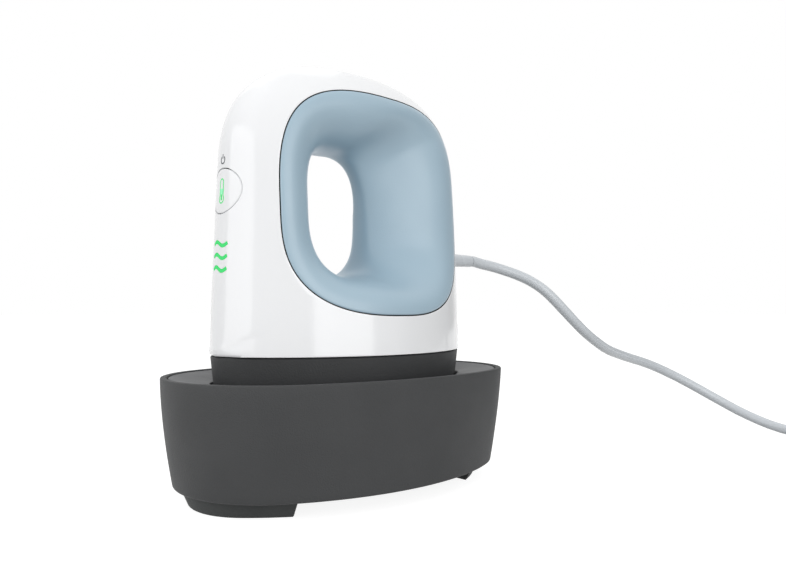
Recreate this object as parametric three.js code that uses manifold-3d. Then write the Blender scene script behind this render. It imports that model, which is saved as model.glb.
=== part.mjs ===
// Mini heat press standing in its safety cradle, in millimetres with +Z up.
// The button end points to -X, the mains lead leaves at +X, and left is -Y.
// The origin is under the middle of the cradle, on the surface that it stands on.
import * as THREE from 'three';
import { mergeVertices } from 'three/addons/utils/BufferGeometryUtils.js';
import Module from 'manifold-3d';

const wasm = await Module();
wasm.setup();

// Clearances
const FIT = 0.3;
const FINE_FIT = 0.12;
const WELL_CLEARANCE = 0.9;
const OVERCUT = 1;

// Rounded outlines are two side arcs joined by two tip arcs
const TIP_STEPS = 4;
const SIDE_STEPS = 5;

// Cradle
const CRADLE_HALF_LENGTH = 61.9;
const CRADLE_HALF_WIDTH = 39.9;
const CRADLE_TIP_RADIUS = 35.3;
const CRADLE_HEIGHT = 33.25;
const CRADLE_WALL = 2;
const CRADLE_FLOOR = 3;
const CRADLE_END_TAPER = 3.9;
const CRADLE_END_TAPER_POWER = 1.7;
const CRADLE_SIDE_TAPER = 2.3;
const CRADLE_TIP_SHARPENING = 4.3;
const CRADLE_EDGE_RADIUS = 0.8;
const FOOT_HEIGHT = 5.2;
const FOOT_INSET = 1.8;
const FOOT_SIDE_INSET = 0.7;
const FOOT_TIP_SHARPENING = 6.8;
const FOOT_DRAFT = 2.3;
const FOOT_INNER_X = 35;
const INSULATION_HEIGHT = 7.35;
const LINER_WALL = 1.8;
const LINER_GROOVE = 0.4;
const LINER_DROP = 2.1;
const PAD_HEIGHT = 3.7;
const PAD_RADIUS = 4;
const PAD_SPACING_X = 26;
const PAD_SPACING_Y = 10;
const CRADLE_BOSS_RADIUS = 2.6;
const CRADLE_SCREW_RADIUS = 1.1;
const CRADLE_SCREW_HEAD_RADIUS = 2.4;
const CRADLE_SCREW_HEAD_HEIGHT = 1.6;
const CRADLE_SCREW_GRIP = 8;
const SCREW_CROWN_RADIUS = 0.7;
const SCREW_RIM_HEIGHT = 0.6;

// Outer shell of the press, measured from its own bottom edge
const SHELL_HALF_LENGTH = 47.8;
const SHELL_HALF_WIDTH = 29.8;
const SHELL_TIP_RADIUS = 17.4;
const SHELL_HEIGHT = 94.2;
const SHELL_WALL = 2.2;
const END_SHOULDER = 58.6;
const END_POWER = 2.65;
const END_DRAFT = 0.04;
const SIDE_SHOULDER = 37.3;
const SIDE_POWER = 2.24;
const SIDE_DRAFT = 0.044;
const CROWN_STEPS = 9;
const CROWN_SPREAD = 1.2;

// Hand hole: the lining rolls from its edge on the shell to the waist of the hole.
// The corner powers run from the rear's upper corner over the front to the rear's lower one.
const LINING_HALF_LENGTH = 38.1;
const LINING_CENTRE_X = 3;
const LINING_CENTRE = 45.7;
const LINING_RISE = 38.3;
const LINING_DROP = 33.5;
const LINING_CORNER_POWERS = [4.4, 3.05, 3.05, 2.4];
const WAIST_HALF_LENGTH = 12.6;
const WAIST_CENTRE_X = -7;
const WAIST_CENTRE = 47;
const WAIST_RISE = 18.9;
const WAIST_DROP = 21.9;
const WAIST_CORNER_POWERS = [2.3, 3.5, 3.1, 4.4];
const LINING_ROLL_POWER = 2.5;
const LINING_RIM_STEP = 1;
const LINING_WALL = 2;
const LINING_STEPS = 40;
const ROLL_STEPS = 5;

// Heat skirt and hot parts
const SKIRT_HEIGHT = 18;
const SKIRT_STEP = 0.4;
const SKIRT_TAPER = 1.8;
const SKIRT_WALL = 2.2;
const SKIRT_FLOOR = 2;
const LIP_HEIGHT = 6;
const LIP_WALL = 1.8;
const PLATE_HALF_LENGTH = 41.3;
const PLATE_HALF_WIDTH = 24.4;
const PLATE_TIP_RADIUS = 14;
const PLATE_THICKNESS = 4.2;
const PLATE_CHAMFER = 0.8;
const STANDOFF_RADIUS = 2.2;
const STANDOFF_MARGIN = 0.6;
const STANDOFF_WEB = 1.2;
const WINDOW_TIP_RADIUS = 9;
const ELEMENT_HEIGHT = 3;
const ELEMENT_WIDTH = 8.5;
const ELEMENT_TIP_RADIUS = 4;
const ELEMENT_CLEARANCE = 1;
const FUSE_RADIUS = 1.3;
const FUSE_LENGTH = 12;
const THERMISTOR_RADIUS = 1.2;
const THERMISTOR_X = 12;
const WOOL_HEIGHT = 6;
const SHIELD_THICKNESS = 0.8;
const BOSS_X = 26;
const BOSS_INSET = 7.6;
const BOSS_RADIUS = 3.2;
const FRAME_SCREW_RADIUS = 1.2;
const FRAME_SCREW_HEAD_RADIUS = 2.6;
const FRAME_SCREW_HEAD_HEIGHT = 1.6;
const FRAME_SCREW_LENGTH = 13;

// Inner frame, boards and what sits on them
const FRAME_BASE_HEIGHT = 1.1;
const FRAME_BASE_THICKNESS = 2.5;
const ARM_THICKNESS = 2;
const ARM_HALF_WIDTH = 5;
const BOARD_THICKNESS = 1.6;
const BUTTON_BOARD_X = -36;
const BUTTON_BOARD_HALF_WIDTH = 8;
const BUTTON_BOARD_BOTTOM = 22;
const BUTTON_BOARD_TOP = 60;
const CONTROL_BOARD_X = 17.9;
const CONTROL_BOARD_HALF_WIDTH = 7;
const CONTROL_BOARD_BOTTOM = 10;
const CONTROL_BOARD_TOP = 58;
const RELAY_SIZE = [12, 13, 13];
const RELAY_Z = 50;
const TRANSFORMER_SIZE = [12, 13, 12];
const TRANSFORMER_Z = 18;
const CAPACITOR_RADIUS = 3.4;
const CAPACITOR_LENGTH = 11;
const CAPACITOR_Y = 3.5;
const CAPACITOR_Z = 34;
const CHIP_SIZE = [1.2, 6, 6];
const CHIP_Y = -3.5;
const CHIP_Z = 34;

// Power button, its sign and the lights
const BUTTON_Z = 49.8;
const BUTTON_HALF_WIDTH = 8.2;
const BUTTON_HALF_HEIGHT = 6.75;
const BUTTON_FLANGE = 1.2;
const BUTTON_BACK_X = -40.4;
const BUTTON_TRAVEL = 0.8;
const SWITCH_HALF_WIDTH = 3;
const SIGN_LENGTH = 7.7;
const SIGN_BULB_RADIUS = 1.5;
const SIGN_STEM_RADIUS = 1.15;
const LIGHT_MIDDLE_Z = 30;
const LIGHT_SPACING = 3.8;
const LIGHT_HALF_WIDTH = 4;
const LIGHT_WAVE_LENGTH = 7.5;
const LIGHT_WAVE_HEIGHT = 0.65;
const LIGHT_THICKNESS = 1;
const LIGHT_STEPS = 10;
const LIGHT_DEPTH = 10.3;
const DIODE_SIZE = [1.1, 3, 1.8];

// Lead exit and clamp
const LEAD_EXIT_Z = 32.9;
const LEAD_RADIUS = 2.1;
const SLEEVE_RADIUS = 2.7;
const SLEEVE_LENGTH = 15;
const SLEEVE_COLLAR = 0.6;
const SLEEVE_SHOULDER = 3;
const SLEEVE_SHOULDER_DROP = 0.25;
const SLEEVE_NECK = 7.5;
const SLEEVE_NECK_WALL = 0.2;
const SLEEVE_MOUTH_WALL = 0.1;
const SLEEVE_HOLE_FIT = 0.3;
const SLEEVE_FLANGE_RADIUS = 4.6;
const SLEEVE_FLANGE_THICKNESS = 2;
const SLEEVE_TAIL = 9.4;
const CLAMP_X = 33;
const CLAMP_LENGTH = 5;
const CLAMP_HALF_WIDTH = 8;
const CLAMP_HALF_HEIGHT = 4.5;
const CLAMP_SCREW_Y = 6;
const CLAMP_SCREW_RADIUS = 1;
const CLAMP_SCREW_HEAD_RADIUS = 1.8;
const CLAMP_SCREW_HEAD_HEIGHT = 1.3;
const CLAMP_SCREW_GRIP = 7;

// Free lead from the sleeve's mouth down to the surface, as points that it passes through
const LEAD_ROUTE = [
  [67, -0.5, 77.2],
  [72, -1.6, 76.3],
  [77, -3.6, 74.9],
  [82, -6.8, 72.9],
  [86.2, -10.6, 70.2],
  [90, -14, 66.7],
  [93.6, -16.2, 62.9],
  [97.8, -18, 58.5],
  [103, -19.4, 53.8],
  [109.2, -20, 49.4],
  [117.7, -19.5, 45.3],
  [128, -18, 41.6],
  [139, -16.4, 39],
  [151.4, -15, 36.4],
  [164, -15, 33.6],
  [176, -17.6, 29.4],
  [187, -23.6, 23.4],
  [196, -33, 16],
  [201.8, -45, 9],
  [204.2, -59, 4.4],
];
const LEAD_END_STEP = 1.5;
const LEAD_LAST_RUN = 12;
const LEAD_STEPS = 60;
const LEAD_SIDES = 8;
const ROUND_SIDES = 16;
const POST_SIDES = 12;
const SMALL_SIDES = 10;
const BUTTON_SEGMENTS = 10;
const SIGN_SEGMENTS = 8;

// Coil of the length that is put away, wound in two layers, with its tie and the plug
const COIL_CENTRE = [238.8, -89];
const COIL_INNER_RADIUS = 16.8;
const COIL_PITCH = 4.7;
const COIL_TURNS_PER_LAYER = 3.75;
const COIL_STEPS = 24;
const COIL_SIDES = 6;
const COIL_CLIMB = 0.25;
const TIE_THICKNESS = 0.8;
const TIE_WIDTH = 7;
const TAIL_OUTSET = 2.2;
const TAIL_BEND_RADIUS = 18.3;
const TAIL_STEPS = 12;
const PLUG_SLEEVE_RADIUS = 3.4;
const PLUG_SLEEVE_LENGTH = 15;
const PLUG_SLEEVE_WALL = 0.4;
const PLUG_SLEEVE_END = 3;
const PLUG_COLLAR = 1.5;
const PLUG_SIDES = 20;
const PLUG_LENGTH = 30;
const PLUG_HALF_WIDTH = 12;
const PLUG_HALF_HEIGHT = 10;
const BLADE_LENGTH = 17;
const BLADE_HEIGHT = 6.3;
const BLADE_THICKNESS = 1.5;
const BLADE_SPACING = 12.7;
const BLADE_RISE = 3;
const GROUND_PIN_RADIUS = 2.4;
const GROUND_PIN_LENGTH = 20;
const GROUND_PIN_DROP = 4.5;

// Heights that follow from the stack of parts
const RIM_Z = FOOT_HEIGHT + CRADLE_HEIGHT;
const FLOOR_TOP_Z = FOOT_HEIGHT + CRADLE_FLOOR;
const INSULATION_Z = FLOOR_TOP_Z + FIT;
const LINER_FLOOR_Z = INSULATION_Z + INSULATION_HEIGHT + FIT;
const PAD_Z = LINER_FLOOR_Z + LINER_WALL + FIT;
const PLATE_Z = PAD_Z + PAD_HEIGHT + FIT;
const SKIRT_BOTTOM = -FIT - SKIRT_HEIGHT;
const PLATE_TOP = SKIRT_BOTTOM - FIT;
const PRESS_Z = PLATE_Z + PLATE_THICKNESS - PLATE_TOP;

const gloss = (color, roughness) => new THREE.MeshStandardMaterial({ color, roughness, metalness: 0 });
const metal = (color, roughness) => new THREE.MeshStandardMaterial({ color, roughness, metalness: 1 });
const whitePlastic = gloss('#f4f4f4', 0.2);
const greyBluePlastic = gloss('#94a8b6', 0.45);
const darkResin = gloss('#3a3b3c', 0.6);
const cradlePlastic = gloss('#444645', 0.6);
const linerPlastic = gloss('#5a5d60', 0.55);
const frameNylon = gloss('#d8d4c8', 0.6);
const boardGreen = gloss('#2f6b45', 0.5);
const componentBlack = gloss('#202020', 0.5);
const lightGreen = gloss('#45e07c', 0.3);
const leadVinyl = gloss('#c9ced2', 0.45);
const siliconeGrey = gloss('#6d6f70', 0.8);
const woolWhite = gloss('#d9d6cc', 0.95);
const ceramic = gloss('#e8e2d2', 0.4);
const aluminium = metal('#a9abad', 0.4);
const steel = metal('#b9bbbd', 0.35);

// Turns a triangle mesh into a closed body with its faces pointing out
function closedBody(points, triangles) {
  let volume = 0;
  for (const [a, b, c] of triangles) {
    volume += points[a].dot(points[b].clone().cross(points[c]));
  }
  const faces = volume < 0 ? triangles.map(([a, b, c]) => [a, c, b]) : triangles;
  const geometry = new THREE.BufferGeometry();
  const numbers = points.flatMap((p) => [p.x, p.y, p.z]);
  geometry.setAttribute('position', new THREE.Float32BufferAttribute(numbers, 3));
  geometry.setIndex(faces.flat());
  return geometry;
}

// Joins closed outlines of the same count, with flat ends, or end to end as a ring
function loft(outlines, { ring = false, first = null, last = null } = {}) {
  const count = outlines[0].length;
  const points = outlines.flat();
  const triangles = [];
  const rows = ring ? outlines.length : outlines.length - 1;
  for (let i = 0; i < rows; i++) {
    const low = i * count;
    const high = ((i + 1) % outlines.length) * count;
    for (let j = 0; j < count; j++) {
      const k = (j + 1) % count;
      triangles.push([low + j, low + k, high + k], [low + j, high + k, high + j]);
    }
  }
  if (!ring) {
    const middle = (row) => {
      const sum = row.reduce((total, p) => total.add(p), new THREE.Vector3());
      return sum.divideScalar(count);
    };
    const top = (outlines.length - 1) * count;
    const ends = [first ?? middle(outlines[0]), last ?? middle(outlines.at(-1))];
    points.push(...ends);
    for (let j = 0; j < count; j++) {
      const k = (j + 1) % count;
      triangles.push([points.length - 2, k, j], [points.length - 1, top + j, top + k]);
    }
  }
  return closedBody(points, triangles);
}

function solid(geometry) {
  const bare = geometry.clone();
  bare.deleteAttribute('normal');
  bare.deleteAttribute('uv');
  const merged = mergeVertices(bare, 1e-4);
  return new wasm.Manifold(
    new wasm.Mesh({
      numProp: 3,
      vertProperties: new Float32Array(merged.attributes.position.array),
      triVerts: new Uint32Array(merged.index.array),
    }),
  );
}

function geometryOf(body) {
  const mesh = body.getMesh();
  const geometry = new THREE.BufferGeometry();
  geometry.setAttribute('position', new THREE.BufferAttribute(mesh.vertProperties, 3));
  geometry.setIndex(new THREE.BufferAttribute(mesh.triVerts, 1));
  return geometry;
}

const join = (bodies) => bodies.reduce((sum, body) => sum.add(body));
const cut = (body, tools) => tools.reduce((left, tool) => left.subtract(tool), body);

// Half width of a rounded outline at a place along its length
function halfWidthAt(x, a, b, r) {
  const sideRadius = (b * b + (a - r) ** 2 - r * r) / (2 * (b - r));
  const turn = Math.atan2(sideRadius - b, a - r);
  const along = Math.abs(x);
  if (along < a - r + r * Math.cos(turn)) return b - sideRadius + Math.sqrt(sideRadius ** 2 - along ** 2);
  return Math.sqrt(Math.max(r * r - (along - a + r) ** 2, 0));
}

// Rounded outline of half length a, half width b and tip radius r, anticlockwise from +X
function outline(a, b, r, z) {
  const sideRadius = (b * b + (a - r) ** 2 - r * r) / (2 * (b - r));
  const turn = Math.atan2(sideRadius - b, a - r);
  const quarter = [];
  for (let i = 0; i < TIP_STEPS; i++) {
    const angle = (turn * i) / TIP_STEPS;
    quarter.push([a - r + r * Math.cos(angle), r * Math.sin(angle)]);
  }
  for (let i = 0; i <= SIDE_STEPS; i++) {
    const angle = turn + ((Math.PI / 2 - turn) * i) / SIDE_STEPS;
    quarter.push([sideRadius * Math.cos(angle), b - sideRadius + sideRadius * Math.sin(angle)]);
  }
  const back = quarter.slice(1).reverse();
  const ahead = quarter.slice(0, -1);
  return [
    ...ahead.map(([x, y]) => new THREE.Vector3(x, y, z)),
    ...back.map(([x, y]) => new THREE.Vector3(-x, y, z)),
    ...ahead.map(([x, y]) => new THREE.Vector3(-x, -y, z)),
    ...back.map(([x, y]) => new THREE.Vector3(x, -y, z)),
  ];
}

const insetOutline = ([a, b, r], inset, z) => outline(a - inset, b - inset, r - inset, z);

function slab(sizes, inset, low, high) {
  return loft([insetOutline(sizes, inset, low), insetOutline(sizes, inset, high)]);
}

function box(x0, x1, y0, y1, z0, z1) {
  const block = new THREE.BoxGeometry(x1 - x0, y1 - y0, z1 - z0);
  return block.translate((x0 + x1) / 2, (y0 + y1) / 2, (z0 + z1) / 2);
}

function post(x, y, radius, low, high) {
  const cylinder = new THREE.CylinderGeometry(radius, radius, high - low, POST_SIDES);
  return cylinder.rotateX(Math.PI / 2).translate(x, y, (low + high) / 2);
}

// Screw standing on its point, its head's underside at the given height
function screw(x, y, radius, headRadius, headHeight, tip, head) {
  const profile = [
    [0, tip],
    [radius, tip],
    [radius, head],
    [headRadius, head],
    [headRadius, head + headHeight * SCREW_RIM_HEIGHT],
    [headRadius * SCREW_CROWN_RADIUS, head + headHeight],
    [0, head + headHeight],
  ].map(([r, z]) => new THREE.Vector2(r, z));
  return new THREE.LatheGeometry(profile, SMALL_SIDES).rotateX(Math.PI / 2).translate(x, y, 0);
}

// Shape in the YZ plane, drawn through the part along X
function alongX(shape, x0, x1, curveSegments = SIGN_SEGMENTS) {
  const prism = new THREE.ExtrudeGeometry(shape, { depth: x1 - x0, bevelEnabled: false, curveSegments });
  const axes = new THREE.Matrix4().makeBasis(
    new THREE.Vector3(0, 1, 0),
    new THREE.Vector3(0, 0, 1),
    new THREE.Vector3(1, 0, 0),
  );
  return prism.applyMatrix4(axes).translate(x0, 0, 0);
}

// Shape in the XZ plane, drawn through the part along Y
function alongY(shape, y0, y1) {
  const prism = new THREE.ExtrudeGeometry(shape, { depth: y1 - y0, bevelEnabled: false });
  return prism.rotateX(Math.PI / 2).translate(0, y1, 0);
}

function mesh(name, geometry, material) {
  const piece = new THREE.Mesh(geometry, material);
  piece.name = name;
  return piece;
}

const power = (value, exponent) => Math.sign(value) * Math.abs(value) ** exponent;

// Outline sizes of the shell at a height, or of its hollow when inset by the wall
function shellSizes(z, inset = 0) {
  const top = SHELL_HEIGHT - inset;
  const crown = (shoulder, exponent) => {
    const share = Math.min(Math.max((z - shoulder) / (top - shoulder), 0), 1);
    return (1 - share ** exponent) ** (1 / exponent);
  };
  const a = (SHELL_HALF_LENGTH - inset - END_DRAFT * z) * crown(END_SHOULDER, END_POWER);
  const b = (SHELL_HALF_WIDTH - inset - SIDE_DRAFT * z) * crown(SIDE_SHOULDER, SIDE_POWER);
  const r = ((SHELL_TIP_RADIUS - inset) * b) / (SHELL_HALF_WIDTH - inset);
  return [a, b, r];
}

function shellBody(inset = 0, bottom = 0) {
  const levels = [bottom, SIDE_SHOULDER / 2, SIDE_SHOULDER, END_SHOULDER];
  const crown = SHELL_HEIGHT - inset - END_SHOULDER;
  for (let i = 2; i < CROWN_STEPS; i++) {
    const rise = Math.sin((Math.PI / 2) * (i / CROWN_STEPS)) ** (2 / END_POWER) ** CROWN_SPREAD;
    levels.push(END_SHOULDER + crown * rise);
  }
  const outlines = levels.map((z) => outline(...shellSizes(z, inset), z));
  return loft(outlines, { last: new THREE.Vector3(0, 0, SHELL_HEIGHT - inset) });
}

// Closed curve with its own rise and drop about a centre, and four corners of their own roundness
function roundedLoop(angle, { halfLength, centreX, centre, rise, drop, cornerPowers }, grow = 0) {
  const height = Math.sin(angle) > 0 ? rise : drop;
  const roundness = 2 / cornerPowers[Math.floor(angle / (Math.PI / 2))];
  return {
    x: centreX + (halfLength + grow) * power(Math.cos(angle), roundness),
    z: centre + (height + grow) * power(Math.sin(angle), roundness),
  };
}

const liningEdge = {
  halfLength: LINING_HALF_LENGTH,
  centreX: LINING_CENTRE_X,
  centre: LINING_CENTRE,
  rise: LINING_RISE,
  drop: LINING_DROP,
  cornerPowers: LINING_CORNER_POWERS,
};
const waist = {
  halfLength: WAIST_HALF_LENGTH,
  centreX: WAIST_CENTRE_X,
  centre: WAIST_CENTRE,
  rise: WAIST_RISE,
  drop: WAIST_DROP,
  cornerPowers: WAIST_CORNER_POWERS,
};
const loopAngles = Array.from({ length: LINING_STEPS }, (_, i) => (2 * Math.PI * i) / LINING_STEPS);

function outerShell(cutters) {
  const opening = new THREE.Shape(
    loopAngles.map((angle) => {
      const { x, z } = roundedLoop(angle, liningEdge, FIT);
      return new THREE.Vector2(x, z);
    }),
  );
  const hollow = solid(shellBody(SHELL_WALL, -OVERCUT));
  const passage = solid(alongY(opening, -SHELL_HALF_WIDTH - OVERCUT, SHELL_HALF_WIDTH + OVERCUT));
  return geometryOf(cut(solid(shellBody()), [hollow, passage, ...cutters]));
}

// One half of the hand hole's lining: rolled face outside, the same roll inside one wall further back.
// The face leaves its edge in line with the shell's own curve.
function handleInsert(side) {
  const faceRows = [];
  const backRows = [];
  for (let j = 0; j <= ROLL_STEPS; j++) {
    const turn = (Math.PI / 2) * (j / ROLL_STEPS);
    const inward = power(Math.sin(turn), 2 / LINING_ROLL_POWER);
    const outward = power(Math.cos(turn), 2 / LINING_ROLL_POWER);
    const face = [];
    const back = [];
    for (const angle of loopAngles) {
      const edge = roundedLoop(angle, liningEdge);
      const throat = roundedLoop(angle, waist);
      const depth = halfWidthAt(edge.x, ...shellSizes(edge.z)) - FIT / 2;
      const span = Math.hypot(throat.x - edge.x, throat.z - edge.z);
      const step = LINING_RIM_STEP / span;
      const next = { x: edge.x + (throat.x - edge.x) * step, z: edge.z + (throat.z - edge.z) * step };
      const rimSlope = (halfWidthAt(next.x, ...shellSizes(next.z)) - FIT / 2 - depth) / LINING_RIM_STEP;
      const swell = rimSlope * span * inward * (1 - inward) ** 2;
      const slopeIn = inward ** (LINING_ROLL_POWER - 1) / span;
      const slopeOut = outward ** (LINING_ROLL_POWER - 1) / depth;
      const wall = LINING_WALL / Math.hypot(slopeIn, slopeOut);
      const place = (along, out) =>
        new THREE.Vector3(
          edge.x + (throat.x - edge.x) * (along / span),
          side * (FIT / 2 + Math.max(out, 0)),
          edge.z + (throat.z - edge.z) * (along / span),
        );
      face.push(place(inward * span, outward * depth + swell));
      back.push(place(inward * span - wall * slopeIn, outward * depth + swell - wall * slopeOut));
    }
    faceRows.push(face);
    backRows.unshift(back);
  }
  return loft([...faceRows, ...backRows], { ring: true });
}

// Skirt sizes, from the shell's outline inwards
const shellOutline = [SHELL_HALF_LENGTH, SHELL_HALF_WIDTH, SHELL_TIP_RADIUS];
const skirtInset = (z) => SKIRT_STEP + (SKIRT_TAPER * (-FIT - z)) / SKIRT_HEIGHT;
const lipInset = SHELL_WALL + FIT;
const lipTopInset = lipInset + Math.max(END_DRAFT, SIDE_DRAFT) * LIP_HEIGHT;
const lipInnerInset = lipTopInset + LIP_WALL;
const skirtFloorTop = SKIRT_BOTTOM + SKIRT_FLOOR;
const skirtInnerInset = skirtInset(SKIRT_BOTTOM) + SKIRT_WALL;
const standoffX = PLATE_HALF_LENGTH - STANDOFF_RADIUS - STANDOFF_MARGIN;
const standoffY = PLATE_HALF_WIDTH - STANDOFF_RADIUS - STANDOFF_MARGIN;
const windowInset = STANDOFF_RADIUS + FIT + STANDOFF_WEB;
const windowOutline = [standoffX - windowInset, standoffY - windowInset, WINDOW_TIP_RADIUS];
const standoffPlaces = [
  [standoffX, 0],
  [-standoffX, 0],
  [0, standoffY],
  [0, -standoffY],
];
const bossY = halfWidthAt(BOSS_X, ...shellOutline.map((size) => size - BOSS_INSET));
const bossPlaces = [
  [BOSS_X, bossY],
  [-BOSS_X, bossY],
  [-BOSS_X, -bossY],
  [BOSS_X, -bossY],
];
const bossTop = FRAME_BASE_HEIGHT - FIT;
const frameTop = FRAME_BASE_HEIGHT + FRAME_BASE_THICKNESS;
const frameScrewHead = frameTop + FIT;
const frameScrewTip = frameScrewHead - FRAME_SCREW_LENGTH;

function heatSkirt() {
  const wall = loft(
    [
      insetOutline(shellOutline, skirtInset(SKIRT_BOTTOM), SKIRT_BOTTOM),
      insetOutline(shellOutline, skirtInset(-FIT), -FIT),
      insetOutline(shellOutline, lipInset, -FIT),
      insetOutline(shellOutline, lipTopInset, LIP_HEIGHT),
      insetOutline(shellOutline, lipInnerInset, LIP_HEIGHT),
      insetOutline(shellOutline, lipInnerInset, -FIT),
      insetOutline(shellOutline, skirtInnerInset, skirtFloorTop),
      outline(...windowOutline, skirtFloorTop),
      outline(...windowOutline, SKIRT_BOTTOM),
    ],
    { ring: true },
  );
  const bosses = bossPlaces.map(([x, y]) => solid(post(x, y, BOSS_RADIUS, SKIRT_BOTTOM + FIT, bossTop)));
  const pilots = bossPlaces.map(([x, y]) => {
    return solid(post(x, y, FRAME_SCREW_RADIUS + FIT, frameScrewTip - FIT, bossTop + FIT));
  });
  const passages = standoffPlaces.map(([x, y]) => {
    return solid(post(x, y, STANDOFF_RADIUS + FIT, SKIRT_BOTTOM - FIT, LIP_HEIGHT + FIT));
  });
  return geometryOf(cut(join([solid(wall), ...bosses]), [...pilots, ...passages]));
}

function heatPlate() {
  const sizes = [PLATE_HALF_LENGTH, PLATE_HALF_WIDTH, PLATE_TIP_RADIUS];
  const bottom = PLATE_TOP - PLATE_THICKNESS;
  return loft([
    insetOutline(sizes, PLATE_CHAMFER, bottom),
    insetOutline(sizes, 0, bottom + PLATE_CHAMFER),
    insetOutline(sizes, 0, PLATE_TOP),
  ]);
}

const elementOutline = windowOutline.map((size) => size - ELEMENT_CLEARANCE);
const elementBottom = PLATE_TOP + FIT;
const elementTop = elementBottom + ELEMENT_HEIGHT;
const woolTop = elementTop + FIT + WOOL_HEIGHT;

function heatingElement() {
  const [a, b] = elementOutline;
  const inner = [a - ELEMENT_WIDTH, b - ELEMENT_WIDTH, ELEMENT_TIP_RADIUS];
  const rows = [
    outline(...elementOutline, elementBottom),
    outline(...elementOutline, elementTop),
    outline(...inner, elementTop),
    outline(...inner, elementBottom),
  ];
  return loft(rows, { ring: true });
}

function thermalFuse() {
  const can = new THREE.CylinderGeometry(FUSE_RADIUS, FUSE_RADIUS, FUSE_LENGTH, POST_SIDES);
  return can.rotateZ(Math.PI / 2).translate(0, 0, elementBottom + FUSE_RADIUS);
}

function thermistor() {
  const z = elementBottom + THERMISTOR_RADIUS;
  const bead = new THREE.SphereGeometry(THERMISTOR_RADIUS, POST_SIDES, POST_SIDES / 2);
  return bead.translate(THERMISTOR_X, 0, z);
}

const frontArmFace = BUTTON_BOARD_X + BOARD_THICKNESS + FIT;
const rearArmFace = CONTROL_BOARD_X - FIT;
const clampBottom = LEAD_EXIT_Z - CLAMP_HALF_HEIGHT;
const clampTop = LEAD_EXIT_Z + CLAMP_HALF_HEIGHT;
const clampColumnTop = clampBottom - FIT;
const clampEnd = CLAMP_X + CLAMP_LENGTH;
const clampMiddle = CLAMP_X + CLAMP_LENGTH / 2;

function innerFrame() {
  const base = solid(slab(shellOutline, lipInnerInset + FIT, FRAME_BASE_HEIGHT, frameTop));
  const foot = frameTop - FIT;
  const armY = [-ARM_HALF_WIDTH, ARM_HALF_WIDTH];
  const frontArm = box(frontArmFace, frontArmFace + ARM_THICKNESS, ...armY, foot, BUTTON_BOARD_TOP);
  const rearArm = box(rearArmFace - ARM_THICKNESS, rearArmFace, ...armY, foot, CONTROL_BOARD_TOP);
  const column = box(CLAMP_X, clampEnd, -CLAMP_HALF_WIDTH, CLAMP_HALF_WIDTH, foot, clampColumnTop);
  const holes = bossPlaces.map(([x, y]) => {
    return solid(post(x, y, FRAME_SCREW_RADIUS + FIT, FRAME_BASE_HEIGHT - FIT, frameTop + FIT));
  });
  const pilots = [-CLAMP_SCREW_Y, CLAMP_SCREW_Y].map((y) => {
    const tip = clampTop - 2 * CLAMP_HALF_HEIGHT - CLAMP_SCREW_GRIP - FIT;
    return solid(post(clampMiddle, y, CLAMP_SCREW_RADIUS + FIT, tip, clampColumnTop + FIT));
  });
  return geometryOf(cut(join([base, solid(frontArm), solid(rearArm), solid(column)]), [...holes, ...pilots]));
}

function onControlBoard([x, y, z], atY, atZ) {
  const face = CONTROL_BOARD_X + BOARD_THICKNESS + FIT;
  return box(face, face + x, atY - y / 2, atY + y / 2, atZ - z / 2, atZ + z / 2);
}

function capacitor() {
  const face = CONTROL_BOARD_X + BOARD_THICKNESS + FIT;
  const can = new THREE.CylinderGeometry(CAPACITOR_RADIUS, CAPACITOR_RADIUS, CAPACITOR_LENGTH, ROUND_SIDES);
  return can.rotateZ(Math.PI / 2).translate(face + CAPACITOR_LENGTH / 2, CAPACITOR_Y, CAPACITOR_Z);
}

// Button: its face is cut from the shell's own surface, its flange lies behind the wall
function ellipse(halfWidth, halfHeight) {
  return new THREE.Shape().absellipse(0, BUTTON_Z, halfWidth, halfHeight, 0, 2 * Math.PI, false);
}

function thermometer(grow = 0) {
  const bulb = SIGN_BULB_RADIUS + grow;
  const stem = SIGN_STEM_RADIUS + grow;
  const bulbZ = BUTTON_Z - SIGN_LENGTH / 2 + SIGN_BULB_RADIUS;
  const stemZ = BUTTON_Z + SIGN_LENGTH / 2 - SIGN_STEM_RADIUS;
  const neck = Math.asin(stem / bulb);
  return new THREE.Shape()
    .absarc(0, bulbZ, bulb, Math.PI / 2 + neck, Math.PI / 2 - neck + 2 * Math.PI, false)
    .absarc(0, stemZ, stem, 0, Math.PI, false);
}

const beyondTip = -SHELL_HALF_LENGTH - OVERCUT;

function powerButton(outer) {
  const [cap, flange] = [0, BUTTON_FLANGE].map((grow) => {
    const face = ellipse(BUTTON_HALF_WIDTH + grow, BUTTON_HALF_HEIGHT + grow);
    return solid(alongX(face, beyondTip, BUTTON_BACK_X, BUTTON_SEGMENTS));
  });
  const behindWall = solid(shellBody(SHELL_WALL + FIT, 0));
  const slot = solid(alongX(thermometer(FINE_FIT), beyondTip - OVERCUT, BUTTON_BACK_X + OVERCUT));
  return geometryOf(cut(join([cap.intersect(outer), flange.intersect(behindWall)]), [slot]));
}

function buttonSign(outer) {
  return geometryOf(solid(alongX(thermometer(), beyondTip, BUTTON_BACK_X)).intersect(outer));
}

const buttonHole = () => {
  const sizes = [BUTTON_HALF_WIDTH + FIT, BUTTON_HALF_HEIGHT + FIT];
  return solid(alongX(ellipse(...sizes), beyondTip, BUTTON_BACK_X, BUTTON_SEGMENTS));
};

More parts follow.
